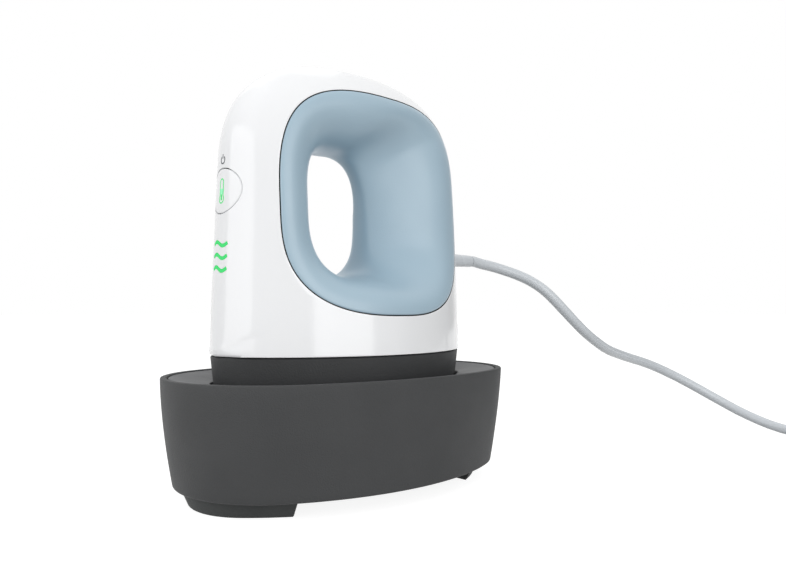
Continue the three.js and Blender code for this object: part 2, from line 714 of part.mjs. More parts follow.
// Wave light: crest on the right-hand side of the press, trough on its left
function wave(z, grow = 0) {
  const half = LIGHT_THICKNESS / 2 + grow;
  const reach = LIGHT_HALF_WIDTH + grow;
  const rise = (y) => LIGHT_WAVE_HEIGHT * Math.sin((2 * Math.PI * y) / LIGHT_WAVE_LENGTH);
  const steps = Array.from({ length: LIGHT_STEPS + 1 }, (_, i) => -reach + (2 * reach * i) / LIGHT_STEPS);
  const lower = steps.map((y) => new THREE.Vector2(y, z + rise(y) - half));
  const upper = steps.map((y) => new THREE.Vector2(y, z + rise(y) + half)).reverse();
  return new THREE.Shape([...lower, ...upper]);
}

const lightBack = LIGHT_DEPTH - SHELL_HALF_LENGTH;
const lights = [
  ['wave_light_high', 'light_diode_high', LIGHT_MIDDLE_Z + LIGHT_SPACING],
  ['wave_light_middle', 'light_diode_middle', LIGHT_MIDDLE_Z],
  ['wave_light_low', 'light_diode_low', LIGHT_MIDDLE_Z - LIGHT_SPACING],
];

function waveLight(z, outer) {
  return geometryOf(solid(alongX(wave(z), beyondTip, lightBack)).intersect(outer));
}

function diode(z) {
  const [x, y, height] = DIODE_SIZE;
  const back = BUTTON_BOARD_X - FIT;
  return box(back - x, back, -y / 2, y / 2, z - height / 2, z + height / 2);
}

function tactSwitch() {
  const back = BUTTON_BOARD_X - FIT;
  const front = BUTTON_BACK_X + BUTTON_TRAVEL + FIT;
  const half = SWITCH_HALF_WIDTH;
  return box(front, back, -half, half, BUTTON_Z - half, BUTTON_Z + half);
}

// Lead sleeve: tail in the clamp, flange inside the wall, taper outside
const exitX = shellSizes(LEAD_EXIT_Z)[0];
const innerExitX = shellSizes(LEAD_EXIT_Z, SHELL_WALL)[0];
const [, , innerTip] = shellSizes(LEAD_EXIT_Z, SHELL_WALL);
const flangeSag = innerTip - Math.sqrt(innerTip ** 2 - SLEEVE_FLANGE_RADIUS ** 2);
const flangeFront = innerExitX - flangeSag - FIT;
const sleeveEnd = exitX + SLEEVE_LENGTH;

function strainRelief() {
  const flangeBack = flangeFront - SLEEVE_FLANGE_THICKNESS;
  const profile = [
    [0, flangeBack - SLEEVE_TAIL],
    [LEAD_RADIUS, flangeBack - SLEEVE_TAIL],
    [LEAD_RADIUS, flangeBack],
    [SLEEVE_FLANGE_RADIUS, flangeBack],
    [SLEEVE_FLANGE_RADIUS, flangeFront],
    [SLEEVE_RADIUS, flangeFront],
    [SLEEVE_RADIUS, exitX + SLEEVE_COLLAR],
    [SLEEVE_RADIUS - SLEEVE_SHOULDER_DROP, exitX + SLEEVE_SHOULDER],
    [LEAD_RADIUS + SLEEVE_NECK_WALL, exitX + SLEEVE_NECK],
    [LEAD_RADIUS + SLEEVE_MOUTH_WALL, sleeveEnd],
    [0, sleeveEnd],
  ].map(([r, x]) => new THREE.Vector2(r, x));
  const sleeve = new THREE.LatheGeometry(profile, ROUND_SIDES);
  return sleeve.rotateZ(-Math.PI / 2).translate(0, 0, LEAD_EXIT_Z);
}

function sleeveHole() {
  const radius = SLEEVE_RADIUS + SLEEVE_HOLE_FIT;
  const length = 2 * (exitX - innerExitX) + 2 * OVERCUT;
  const drill = new THREE.CylinderGeometry(radius, radius, length, ROUND_SIDES);
  return solid(drill.rotateZ(Math.PI / 2).translate((exitX + innerExitX) / 2, 0, LEAD_EXIT_Z));
}

function cordClamp() {
  const block = box(CLAMP_X, clampEnd, -CLAMP_HALF_WIDTH, CLAMP_HALF_WIDTH, clampBottom, clampTop);
  const radius = LEAD_RADIUS + FIT;
  const bore = new THREE.CylinderGeometry(radius, radius, CLAMP_LENGTH + 2 * OVERCUT, ROUND_SIDES);
  const bores = [
    solid(bore.rotateZ(Math.PI / 2).translate(clampMiddle, 0, LEAD_EXIT_Z)),
    ...[-CLAMP_SCREW_Y, CLAMP_SCREW_Y].map((y) => {
      return solid(post(clampMiddle, y, CLAMP_SCREW_RADIUS + FIT, clampBottom - OVERCUT, clampTop + OVERCUT));
    }),
  ];
  return geometryOf(cut(solid(block), bores));
}

function clampScrew(side) {
  const sizes = [CLAMP_SCREW_RADIUS, CLAMP_SCREW_HEAD_RADIUS, CLAMP_SCREW_HEAD_HEIGHT];
  return screw(clampMiddle, side * CLAMP_SCREW_Y, ...sizes, clampBottom - CLAMP_SCREW_GRIP, clampTop + FIT);
}

// Cradle wall at a height: the ends draw in more than the sides
function cradleSizes(z, inset = 0) {
  const share = Math.min(Math.max((RIM_Z - z) / CRADLE_HEIGHT, 0), 1);
  const end = CRADLE_END_TAPER * share ** CRADLE_END_TAPER_POWER;
  return [
    CRADLE_HALF_LENGTH - end - inset,
    CRADLE_HALF_WIDTH - CRADLE_SIDE_TAPER * share - inset,
    CRADLE_TIP_RADIUS - CRADLE_TIP_SHARPENING * share - inset,
  ];
}

const wellSizes = (z) => shellOutline.map((size) => size - skirtInset(z - PRESS_Z) + WELL_CLEARANCE);
const linerEdgeZ = RIM_Z - LINER_DROP;
const linerFloorTop = LINER_FLOOR_Z + LINER_WALL;
const [cradleBossX, cradleBossY] = cradleSizes(FLOOR_TOP_Z, CRADLE_WALL + 2 * FIT + CRADLE_BOSS_RADIUS);
const cradleBossPlaces = [
  [cradleBossX, 0],
  [-cradleBossX, 0],
  [0, cradleBossY],
  [0, -cradleBossY],
];
const cradleScrewHead = FLOOR_TOP_Z - CRADLE_FLOOR + CRADLE_SCREW_HEAD_HEIGHT;
const cradleScrewTip = FLOOR_TOP_Z + CRADLE_SCREW_GRIP;

function cradleShell() {
  const edge = (turn) => CRADLE_EDGE_RADIUS * (1 - Math.sin(turn));
  const corner = [0, Math.PI / 6, Math.PI / 3].map((turn) => {
    const z = FOOT_HEIGHT + CRADLE_EDGE_RADIUS * (1 - Math.cos(turn));
    return outline(...cradleSizes(z, edge(turn)), z);
  });
  const wall = [0.1, 0.35, 0.65, 1].map((share) => {
    const z = FOOT_HEIGHT + CRADLE_EDGE_RADIUS + share * (CRADLE_HEIGHT - CRADLE_EDGE_RADIUS);
    return outline(...cradleSizes(z), z);
  });
  const hollow = [1, 0.5, 0].map((share) => {
    const z = FLOOR_TOP_Z + share * (RIM_Z - FLOOR_TOP_Z);
    return outline(...cradleSizes(z, CRADLE_WALL), z);
  });
  const holes = cradleBossPlaces.map(([x, y]) => {
    const shaft = solid(post(x, y, CRADLE_SCREW_RADIUS + FIT, FOOT_HEIGHT - OVERCUT, FLOOR_TOP_Z + OVERCUT));
    const head = CRADLE_SCREW_HEAD_RADIUS + FIT;
    return shaft.add(solid(post(x, y, head, FOOT_HEIGHT - OVERCUT, cradleScrewHead + FIT)));
  });
  return geometryOf(cut(solid(loft([...corner, ...wall, ...hollow])), holes));
}

function cradleLiner() {
  const groove = CRADLE_WALL + LINER_GROOVE;
  const lipZ = RIM_Z - FIT;
  const well = wellSizes(linerEdgeZ);
  const floorWell = wellSizes(LINER_FLOOR_Z);
  const wider = (sizes) => sizes.map((size) => size + LINER_WALL);
  const rows = [
    outline(...wider(floorWell), LINER_FLOOR_Z),
    outline(...wider(well), linerEdgeZ - LINER_WALL),
    outline(...cradleSizes(RIM_Z - LINER_WALL, groove), lipZ - LINER_WALL),
    outline(...cradleSizes(RIM_Z, groove), lipZ),
    outline(...well, linerEdgeZ),
    outline(...floorWell, linerFloorTop),
  ];
  const bosses = cradleBossPlaces.map(([x, y]) => {
    return solid(post(x, y, CRADLE_BOSS_RADIUS, FLOOR_TOP_Z + FIT, linerEdgeZ - LINER_WALL / 2));
  });
  const pilots = cradleBossPlaces.map(([x, y]) => {
    return solid(post(x, y, CRADLE_SCREW_RADIUS + FIT, FLOOR_TOP_Z, cradleScrewTip + FIT));
  });
  return geometryOf(cut(join([solid(loft(rows)), ...bosses]), pilots));
}

function cradleScrew(x, y) {
  const profile = [
    [0, cradleScrewHead - CRADLE_SCREW_HEAD_HEIGHT],
    [CRADLE_SCREW_HEAD_RADIUS * SCREW_CROWN_RADIUS, cradleScrewHead - CRADLE_SCREW_HEAD_HEIGHT],
    [CRADLE_SCREW_HEAD_RADIUS, cradleScrewHead - CRADLE_SCREW_HEAD_HEIGHT * SCREW_RIM_HEIGHT],
    [CRADLE_SCREW_HEAD_RADIUS, cradleScrewHead],
    [CRADLE_SCREW_RADIUS, cradleScrewHead],
    [CRADLE_SCREW_RADIUS, cradleScrewTip],
    [0, cradleScrewTip],
  ].map(([r, z]) => new THREE.Vector2(r, z));
  return new THREE.LatheGeometry(profile, SMALL_SIDES).rotateX(Math.PI / 2).translate(x, y, 0);
}

function cradleFoot(side) {
  const [length, width, tip] = cradleSizes(FOOT_HEIGHT, FOOT_INSET);
  const sizes = [length, width - FOOT_SIDE_INSET, tip - FOOT_TIP_SHARPENING];
  const wide = loft([
    insetOutline(sizes, FOOT_DRAFT, 0),
    insetOutline(sizes, 0, FOOT_HEIGHT - FIT),
  ]);
  const ends = [side * FOOT_INNER_X, side * (length + OVERCUT)].sort((a, b) => a - b);
  const end = box(...ends, -width - OVERCUT, width + OVERCUT, -OVERCUT, FOOT_HEIGHT);
  return geometryOf(solid(wide).intersect(solid(end)));
}

function cradleInsulation() {
  const inset = 2 * WELL_CLEARANCE + SKIRT_TAPER;
  return slab(shellOutline, inset, INSULATION_Z, INSULATION_Z + INSULATION_HEIGHT);
}

// Free lead: straight out of the sleeve, then through its points and down to the coil
const coilBottomZ = TIE_THICKNESS + FIT + LEAD_RADIUS;
const coilRise = COIL_PITCH;
const coilOuterRadius = COIL_INNER_RADIUS + COIL_PITCH * COIL_TURNS_PER_LAYER;

function coilPoint(turns) {
  const fromMiddle = turns - COIL_TURNS_PER_LAYER;
  const radius = COIL_INNER_RADIUS + COIL_PITCH * Math.abs(fromMiddle);
  const climb = Math.min(Math.max((fromMiddle + COIL_CLIMB) / (2 * COIL_CLIMB), 0), 1);
  const angle = Math.PI + 2 * Math.PI * turns;
  return new THREE.Vector3(
    COIL_CENTRE[0] + radius * Math.cos(angle),
    COIL_CENTRE[1] + radius * Math.sin(angle),
    coilBottomZ + coilRise * climb,
  );
}

// Points of the coil, with a straight run of one diameter at each end
function coilPath() {
  const turns = 2 * COIL_TURNS_PER_LAYER;
  const steps = Math.round(turns * COIL_STEPS);
  const points = Array.from({ length: steps + 1 }, (_, i) => coilPoint((turns * i) / steps));
  const start = points[0].clone().add(new THREE.Vector3(0, 2 * LEAD_RADIUS, 0));
  const end = points.at(-1).clone().add(new THREE.Vector3(0, 2 * LEAD_RADIUS, 0));
  return [start, ...points, end];
}

// Unbroken tube along points that turn mostly in the level plane
function levelTube(points, radius, sides) {
  const rings = points.map((point, i) => {
    const before = points[Math.max(i - 1, 0)];
    const after = points[Math.min(i + 1, points.length - 1)];
    const ahead = after.clone().sub(before);
    if (i === 0 || i === points.length - 1) ahead.z = 0;
    ahead.normalize();
    const across = ahead.clone().cross(new THREE.Vector3(0, 0, 1)).normalize();
    const up = across.clone().cross(ahead);
    return Array.from({ length: sides }, (_, k) => {
      const angle = (2 * Math.PI * k) / sides;
      const sideways = across.clone().multiplyScalar(radius * Math.cos(angle));
      return point.clone().add(sideways).addScaledVector(up, radius * Math.sin(angle));
    });
  });
  return loft(rings);
}

const coil = coilPath();

// Least gap of the coil to itself, between stretches that aren't next to each other
function leastGap(points, diameter) {
  let least = Infinity;
  for (let i = 0; i < points.length; i++) {
    for (let j = i + COIL_STEPS / 2; j < points.length; j++) {
      least = Math.min(least, points[i].distanceTo(points[j]) - diameter);
    }
  }
  return least;
}
console.log(`least gap of the coil to itself: ${leastGap(coil, 2 * LEAD_RADIUS).toFixed(2)} mm`);

function powerLead() {
  const start = new THREE.Vector3(sleeveEnd + FIT, 0, PRESS_Z + LEAD_EXIT_Z);
  const meet = coil[0].clone().add(new THREE.Vector3(0, FIT, 0));
  const route = [
    start,
    start.clone().add(new THREE.Vector3(LEAD_END_STEP, 0, 0)),
    ...LEAD_ROUTE.map((point) => new THREE.Vector3(...point)),
    meet.clone().add(new THREE.Vector3(0, LEAD_LAST_RUN, 0)),
    meet.clone().add(new THREE.Vector3(0, LEAD_END_STEP, 0)),
    meet,
  ];
  const section = new THREE.Shape().absarc(0, 0, LEAD_RADIUS, 0, 2 * Math.PI, false);
  const path = new THREE.CatmullRomCurve3(route, false, 'centripetal');
  return new THREE.ExtrudeGeometry(section, {
    extrudePath: path,
    steps: LEAD_STEPS,
    curveSegments: LEAD_SIDES / 2,
    bevelEnabled: false,
  });
}

// Tail: it climbs off the coil's last turn and turns in over the coil, where the plug lies on top
const plugAxisZ = coilBottomZ + coilRise + LEAD_RADIUS + FIT + PLUG_HALF_HEIGHT;
const tailStart = coil.at(-1).clone().add(new THREE.Vector3(0, FIT, 0));
const tailTurnRadius = coilOuterRadius - TAIL_OUTSET;
const tailTurnShare = tailTurnRadius / (tailTurnRadius + TAIL_BEND_RADIUS);

function tailPoint(share) {
  const turning = share < tailTurnShare;
  const radius = turning ? tailTurnRadius : TAIL_BEND_RADIUS;
  const quarters = turning
    ? share / tailTurnShare
    : 1 + (share - tailTurnShare) / (1 - tailTurnShare);
  const angle = (Math.PI / 2) * quarters;
  const middleY = tailStart.y + tailTurnRadius - radius;
  const climb = (plugAxisZ - tailStart.z) * share * share * (3 - 2 * share);
  return new THREE.Vector3(
    tailStart.x - tailTurnRadius + radius * Math.cos(angle),
    middleY + radius * Math.sin(angle),
    tailStart.z + climb,
  );
}

const tailEnd = tailPoint(1).add(new THREE.Vector3(0, -LEAD_END_STEP, 0));

function leadTail() {
  const points = Array.from({ length: TAIL_STEPS + 1 }, (_, i) => tailPoint(i / TAIL_STEPS));
  return levelTube([...points, tailEnd], LEAD_RADIUS, LEAD_SIDES);
}

const plugStartY = tailEnd.y - FIT;
const plugFaceY = plugStartY - PLUG_SLEEVE_LENGTH - PLUG_LENGTH;

function plugSection(y, halfWidth, halfHeight, exponent) {
  return Array.from({ length: PLUG_SIDES }, (_, i) => {
    const angle = (2 * Math.PI * i) / PLUG_SIDES;
    return new THREE.Vector3(
      tailEnd.x + halfWidth * power(Math.cos(angle), 2 / exponent),
      y,
      plugAxisZ + halfHeight * power(Math.sin(angle), 2 / exponent),
    );
  });
}

// Body of the plug: shares of its length, width and height, and how square each section is
const PLUG_STATIONS = [
  [0.25, 0.72, 0.8, 3],
  [0.6, 0.94, 0.94, 3.4],
  [0.75, 1, 1, 3.6],
  [1, 1, 1, 3.6],
];

function plugBody() {
  const bodyY = plugStartY - PLUG_SLEEVE_LENGTH;
  const mouth = LEAD_RADIUS + PLUG_SLEEVE_WALL;
  const collar = PLUG_SLEEVE_RADIUS + PLUG_COLLAR;
  const sleeve = [
    plugSection(plugStartY, mouth, mouth, 2),
    plugSection(bodyY + PLUG_SLEEVE_END, PLUG_SLEEVE_RADIUS, PLUG_SLEEVE_RADIUS, 2),
    plugSection(bodyY, collar, collar, 2),
  ];
  const body = PLUG_STATIONS.map(([along, wide, high, exponent]) => {
    return plugSection(
      bodyY - PLUG_LENGTH * along,
      PLUG_HALF_WIDTH * wide,
      PLUG_HALF_HEIGHT * high,
      exponent,
    );
  });
  return loft([...sleeve, ...body]);
}

function plugBlade(side) {
  const middle = tailEnd.x + (side * BLADE_SPACING) / 2;
  const acrossX = [middle - BLADE_THICKNESS / 2, middle + BLADE_THICKNESS / 2];
  const low = plugAxisZ + BLADE_RISE - BLADE_HEIGHT / 2;
  const root = plugFaceY - FIT;
  return box(...acrossX, root - BLADE_LENGTH, root, low, low + BLADE_HEIGHT);
}

function plugGroundPin() {
  const middleY = plugFaceY - FIT - GROUND_PIN_LENGTH / 2;
  const sizes = [GROUND_PIN_RADIUS, GROUND_PIN_RADIUS, GROUND_PIN_LENGTH];
  const pin = new THREE.CylinderGeometry(...sizes, POST_SIDES);
  return pin.translate(tailEnd.x, middleY, plugAxisZ - GROUND_PIN_DROP);
}

// Strap round the coil's turns on the side away from the lead
function coilTie() {
  const near = COIL_INNER_RADIUS - LEAD_RADIUS - FIT;
  const far = coilOuterRadius + LEAD_RADIUS + FIT;
  const low = TIE_THICKNESS;
  const high = coilBottomZ + coilRise + LEAD_RADIUS + FIT;
  const rectangle = (grow) => [
    new THREE.Vector2(near - grow, low - grow),
    new THREE.Vector2(far + grow, low - grow),
    new THREE.Vector2(far + grow, high + grow),
    new THREE.Vector2(near - grow, high + grow),
  ];
  const strap = new THREE.Shape(rectangle(TIE_THICKNESS));
  strap.holes.push(new THREE.Path(rectangle(0)));
  const band = new THREE.ExtrudeGeometry(strap, { depth: TIE_WIDTH, bevelEnabled: false });
  band.translate(0, 0, -TIE_WIDTH / 2).rotateX(Math.PI / 2).rotateZ(-Math.PI / 2);
  return band.translate(COIL_CENTRE[0], COIL_CENTRE[1], 0);
}

// The press, placed as one body by the height at which it stands in the cradle
const press = new THREE.Group();
press.position.z = PRESS_Z;
const outer = solid(shellBody());
const lightHoles = lights.map(([, , z]) => solid(alongX(wave(z, FINE_FIT), beyondTip, lightBack)));
press.add(
  mesh('outer_shell', outerShell([buttonHole(), sleeveHole(), ...lightHoles]), whitePlastic),
  mesh('handle_insert_left', handleInsert(-1), greyBluePlastic),
  mesh('handle_insert_right', handleInsert(1), greyBluePlastic),
  mesh('heat_skirt', heatSkirt(), darkResin),
  mesh('heat_plate', heatPlate(), aluminium),
  mesh('heating_element', heatingElement(), steel),
  mesh('thermal_fuse', thermalFuse(), ceramic),
  mesh('thermistor', thermistor(), ceramic),
  mesh('insulation_pad', slab(elementOutline, 0, elementTop + FIT, woolTop), woolWhite),
  mesh('heat_shield', slab(elementOutline, 0, woolTop + FIT, woolTop + FIT + SHIELD_THICKNESS), steel),
  mesh('inner_frame', innerFrame(), frameNylon),
  mesh('strain_relief', strainRelief(), leadVinyl),
  mesh('cord_clamp', cordClamp(), frameNylon),
  mesh('cord_clamp_screw_left', clampScrew(-1), steel),
  mesh('cord_clamp_screw_right', clampScrew(1), steel),
  mesh('tact_switch', tactSwitch(), componentBlack),
  mesh('relay', onControlBoard(RELAY_SIZE, 0, RELAY_Z), componentBlack),
  mesh('transformer', onControlBoard(TRANSFORMER_SIZE, 0, TRANSFORMER_Z), componentBlack),
  mesh('control_chip', onControlBoard(CHIP_SIZE, CHIP_Y, CHIP_Z), componentBlack),
  mesh('capacitor', capacitor(), componentBlack),
);
press.add(
  mesh(
    'button_board',
    box(
      BUTTON_BOARD_X,
      BUTTON_BOARD_X + BOARD_THICKNESS,
      -BUTTON_BOARD_HALF_WIDTH,
      BUTTON_BOARD_HALF_WIDTH,
      BUTTON_BOARD_BOTTOM,
      BUTTON_BOARD_TOP,
    ),
    boardGreen,
  ),
  mesh(
    'control_board',
    box(
      CONTROL_BOARD_X,
      CONTROL_BOARD_X + BOARD_THICKNESS,
      -CONTROL_BOARD_HALF_WIDTH,
      CONTROL_BOARD_HALF_WIDTH,
      CONTROL_BOARD_BOTTOM,
      CONTROL_BOARD_TOP,
    ),
    boardGreen,
  ),
);
standoffPlaces.forEach(([x, y], i) => {
  const column = post(x, y, STANDOFF_RADIUS, PLATE_TOP + FIT, FRAME_BASE_HEIGHT - FIT);
  press.add(mesh(`plate_standoff_${i + 1}`, column, ceramic));
});
bossPlaces.forEach(([x, y], i) => {
  const sizes = [FRAME_SCREW_RADIUS, FRAME_SCREW_HEAD_RADIUS, FRAME_SCREW_HEAD_HEIGHT];
  press.add(mesh(`frame_screw_${i + 1}`, screw(x, y, ...sizes, frameScrewTip, frameScrewHead), steel));
});
lights.forEach(([guide, emitter, z]) => {
  press.add(mesh(guide, waveLight(z, outer), lightGreen), mesh(emitter, diode(z), lightGreen));
});

const button = new THREE.Group();
button.add(
  mesh('power_button', powerButton(outer), whitePlastic),
  mesh('button_sign', buttonSign(outer), lightGreen),
);
press.add(button);

const cradle = new THREE.Group();
cradle.add(
  mesh('cradle_shell', cradleShell(), cradlePlastic),
  mesh('cradle_liner', cradleLiner(), linerPlastic),
  mesh('cradle_insulation', cradleInsulation(), woolWhite),
  mesh('cradle_foot_front', cradleFoot(-1), cradlePlastic),
  mesh('cradle_foot_rear', cradleFoot(1), cradlePlastic),
);
cradleBossPlaces.forEach(([x, y], i) => {
  cradle.add(mesh(`cradle_screw_${i + 1}`, cradleScrew(x, y), steel));
});
[
  [1, 1],
  [-1, 1],
  [-1, -1],
  [1, -1],
].forEach(([x, y], i) => {
  const pad = post(x * PAD_SPACING_X, y * PAD_SPACING_Y, PAD_RADIUS, PAD_Z, PAD_Z + PAD_HEIGHT);
  cradle.add(mesh(`rest_pad_${i + 1}`, pad, siliconeGrey));
});

const lead = new THREE.Group();
lead.add(
  mesh('power_lead', powerLead(), leadVinyl),
  mesh('lead_coil', levelTube(coil, LEAD_RADIUS, COIL_SIDES), leadVinyl),
  mesh('lead_tail', leadTail(), leadVinyl),
  mesh('coil_tie', coilTie(), siliconeGrey),
  mesh('plug_body', plugBody(), leadVinyl),
  mesh('plug_blade_left', plugBlade(-1), steel),
  mesh('plug_blade_right', plugBlade(1), steel),
  mesh('plug_ground_pin', plugGroundPin(), steel),
);

const group = new THREE.Group();
group.add(cradle, press, lead);

export default group;
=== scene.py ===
from math import asin, atan2, copysign, cos, hypot, pi, radians, sin, sqrt, tau

import bmesh
import bpy
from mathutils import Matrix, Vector


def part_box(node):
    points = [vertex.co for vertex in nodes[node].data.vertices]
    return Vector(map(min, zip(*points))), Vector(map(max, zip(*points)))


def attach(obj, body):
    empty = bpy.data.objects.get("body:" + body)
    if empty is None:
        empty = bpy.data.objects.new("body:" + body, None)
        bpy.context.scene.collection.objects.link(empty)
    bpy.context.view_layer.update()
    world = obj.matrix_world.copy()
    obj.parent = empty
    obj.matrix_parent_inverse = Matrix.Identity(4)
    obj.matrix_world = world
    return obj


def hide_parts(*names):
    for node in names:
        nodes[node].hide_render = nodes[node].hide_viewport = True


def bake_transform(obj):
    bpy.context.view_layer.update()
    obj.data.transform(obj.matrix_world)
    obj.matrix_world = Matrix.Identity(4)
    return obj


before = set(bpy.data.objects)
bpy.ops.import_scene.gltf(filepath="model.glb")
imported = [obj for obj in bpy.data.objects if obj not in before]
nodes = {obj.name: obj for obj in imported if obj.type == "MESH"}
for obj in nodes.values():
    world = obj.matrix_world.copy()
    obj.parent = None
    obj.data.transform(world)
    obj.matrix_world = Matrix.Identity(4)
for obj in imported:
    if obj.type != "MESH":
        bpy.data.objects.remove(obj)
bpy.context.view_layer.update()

# The photograph is taken from low down, at the height of the grip, and from
# the side of the power button, a forearm's length away.
PHOTO_WIDTH = 786
SENSOR_WIDTH = 36
FOCAL_PIXELS = 733.37
AIM = Vector((0.02178, 0, 0.06473))
CAMERA_AZIMUTH = radians(-40.0)
CAMERA_ELEVATION = radians(-1.12)
CAMERA_DISTANCE = 0.26442
CLIP_NEAR = 0.01
CLIP_FAR = 20


def placed(name, data):
    """A new object in the scene."""
    made = bpy.data.objects.new(name, data)
    bpy.context.scene.collection.objects.link(made)
    return made


camera = placed("camera", bpy.data.cameras.new("camera"))
bpy.context.scene.camera = camera
camera.data.sensor_width = SENSOR_WIDTH
camera.data.lens = SENSOR_WIDTH * FOCAL_PIXELS / PHOTO_WIDTH
camera.data.clip_start = CLIP_NEAR
camera.data.clip_end = CLIP_FAR
from_aim = Vector(
    (
        sin(CAMERA_AZIMUTH) * cos(CAMERA_ELEVATION),
        -cos(CAMERA_AZIMUTH) * cos(CAMERA_ELEVATION),
        sin(CAMERA_ELEVATION),
    )
)
camera.location = AIM + from_aim * CAMERA_DISTANCE
camera.rotation_mode = "QUATERNION"
camera.rotation_quaternion = (-from_aim).to_track_quat("-Z", "Y")

# Mains lead: light grey vinyl over three cores, 1.5 m long and 4.2 mm thick.
# It drops from the sleeve in one loose curve, and what isn't in use is wound
# in two layers on the table, held by a strap.
MM = 0.001
LEAD_RADIUS = 2.1
SLEEVE_MOUTH = (61.48, 0, 77.95)
LEAD_ROUTE = [
    (61.8, 0, 77.95),
    (63.3, 0, 77.95),
    (67, -0.5, 77.2),
    (72, -1.6, 76.3),
    (77, -3.6, 74.9),
    (82, -6.8, 72.9),
    (86.2, -10.6, 70.2),
    (90, -14, 66.7),
    (93.6, -16.2, 62.9),
    (97.8, -18, 58.5),
    (103, -19.4, 53.8),
    (109.2, -20, 49.4),
    (117.7, -19.5, 45.3),
    (128, -18, 41.6),
    (139, -16.4, 39),
    (151.4, -15, 36.4),
    (164, -15, 33.6),
    (176, -17.6, 29.4),
    (187, -23.6, 23.4),
    (196, -33, 16),
    (201.8, -45, 9),
    (204.2, -59, 4.4),
    (204.4, -72.2, 3.2),
]
COIL_CENTRE = (238.8, -89)
COIL_INNER_RADIUS = 16.8
COIL_PITCH = 4.7
COIL_TURNS = 3.75
COIL_STEPS = 24
COIL_BOTTOM = 3.2
COIL_CLIMB = 0.25
TAIL_OUTSET = 2.2
TAIL_BEND = 18.3
TAIL_STEPS = 24
TAIL_GAP = 0.3
TAIL_END_RUN = 1.5
PLUG_AXIS = 20.3
STEPS_ALONG = 3
STEPS_ROUND = 4


def coil_point(turns):
    """A point of the winding: inwards on the lower layer, outwards on the upper."""
    from_middle = turns - COIL_TURNS
    radius = COIL_INNER_RADIUS + COIL_PITCH * abs(from_middle)
    climb = min(max((from_middle + COIL_CLIMB) / (2 * COIL_CLIMB), 0), 1)
    angle = pi + tau * turns
    return (
        COIL_CENTRE[0] + radius * cos(angle),
        COIL_CENTRE[1] + radius * sin(angle),
        COIL_BOTTOM + COIL_PITCH * climb,
    )


winding = [coil_point(i / COIL_STEPS) for i in range(round(2 * COIL_TURNS * COIL_STEPS) + 1)]
coil_in = (winding[0][0], winding[0][1] + 2 * LEAD_RADIUS, winding[0][2])
coil_out = (winding[-1][0], winding[-1][1] + 2 * LEAD_RADIUS, winding[-1][2])
tail = []
turn_radius = COIL_INNER_RADIUS + COIL_PITCH * COIL_TURNS - TAIL_OUTSET
turn_share = turn_radius / (turn_radius + TAIL_BEND)
for i in range(1, TAIL_STEPS + 1):
    share = i / TAIL_STEPS
    is_first = share < turn_share
    radius = turn_radius if is_first else TAIL_BEND
    quarters = share / turn_share if is_first else 1 + (share - turn_share) / (1 - turn_share)
    turn = pi / 2 * quarters
    tail.append(
        (
            coil_out[0] - turn_radius + radius * cos(turn),
            coil_out[1] + TAIL_GAP + turn_radius - radius + radius * sin(turn),
            coil_out[2] + (PLUG_AXIS - coil_out[2]) * share * share * (3 - 2 * share),
        )
    )
tail.append((tail[-1][0], tail[-1][1] - TAIL_END_RUN, PLUG_AXIS))
lead_points = [*LEAD_ROUTE, coil_in, *winding, coil_out, *tail]

lead_curve = bpy.data.curves.new("lead_line", "CURVE")
lead_curve.dimensions = "3D"
lead_curve.resolution_u = STEPS_ALONG
line = lead_curve.splines.new("BEZIER")
line.bezier_points.add(len(lead_points) - 1)
for knot, place in zip(line.bezier_points, lead_points):
    knot.co = Vector(place) * MM
    knot.handle_left_type = knot.handle_right_type = "AUTO"


def evaluated_mesh(piece, name):
    """The mesh that an object has with its curve or its modifiers worked out."""
    bpy.context.view_layer.update()
    made = bpy.data.meshes.new_from_object(piece.evaluated_get(bpy.context.evaluated_depsgraph_get()))
    made.name = name
    return made


def curve_mesh(curve, name):
    """The mesh that a curve makes as it is now set."""
    holder = placed(name, curve)
    made = evaluated_mesh(holder, name)
    bpy.data.objects.remove(holder)
    return made


lead_path = [vertex.co.copy() for vertex in curve_mesh(lead_curve, "lead_line").vertices]
lead_curve.bevel_depth = LEAD_RADIUS * MM
lead_curve.bevel_resolution = STEPS_ROUND
lead_curve.use_fill_caps = True
lead_mesh = curve_mesh(lead_curve, "mains_lead")
lead_mesh.shade_smooth()
mains_lead = placed("mains_lead", lead_mesh)


def linear(code):
    """An sRGB hex colour as the linear colour that a shader takes."""
    parts = [int(code[i : i + 2], 16) / 255 for i in (1, 3, 5)]
    return tuple(c / 12.92 if c <= 0.04045 else ((c + 0.055) / 1.055) ** 2.4 for c in parts) + (1,)


def add(tree, kind, inputs=None, **settings):
    """Adds a node with its settings, and fills or links its inputs."""
    made = tree.nodes.new("ShaderNode" + kind)
    for name, value in settings.items():
        setattr(made, name, value)
    for name, value in (inputs or {}).items():
        if isinstance(value, bpy.types.NodeSocket):
            tree.links.new(value, made.inputs[name])
        else:
            made.inputs[name].default_value = value
    return made


def surface(name, **shader):
    """A material whose only shader is a Principled one with these sockets set."""
    material = bpy.data.materials.new(name)
    material.use_nodes = True
    tree = material.node_tree
    tree.nodes.clear()
    made = add(tree, "BsdfPrincipled", {key.replace("_", " "): value for key, value in shader.items()})
    add(tree, "OutputMaterial", {"Surface": made.outputs["BSDF"]})
    return material, tree, made


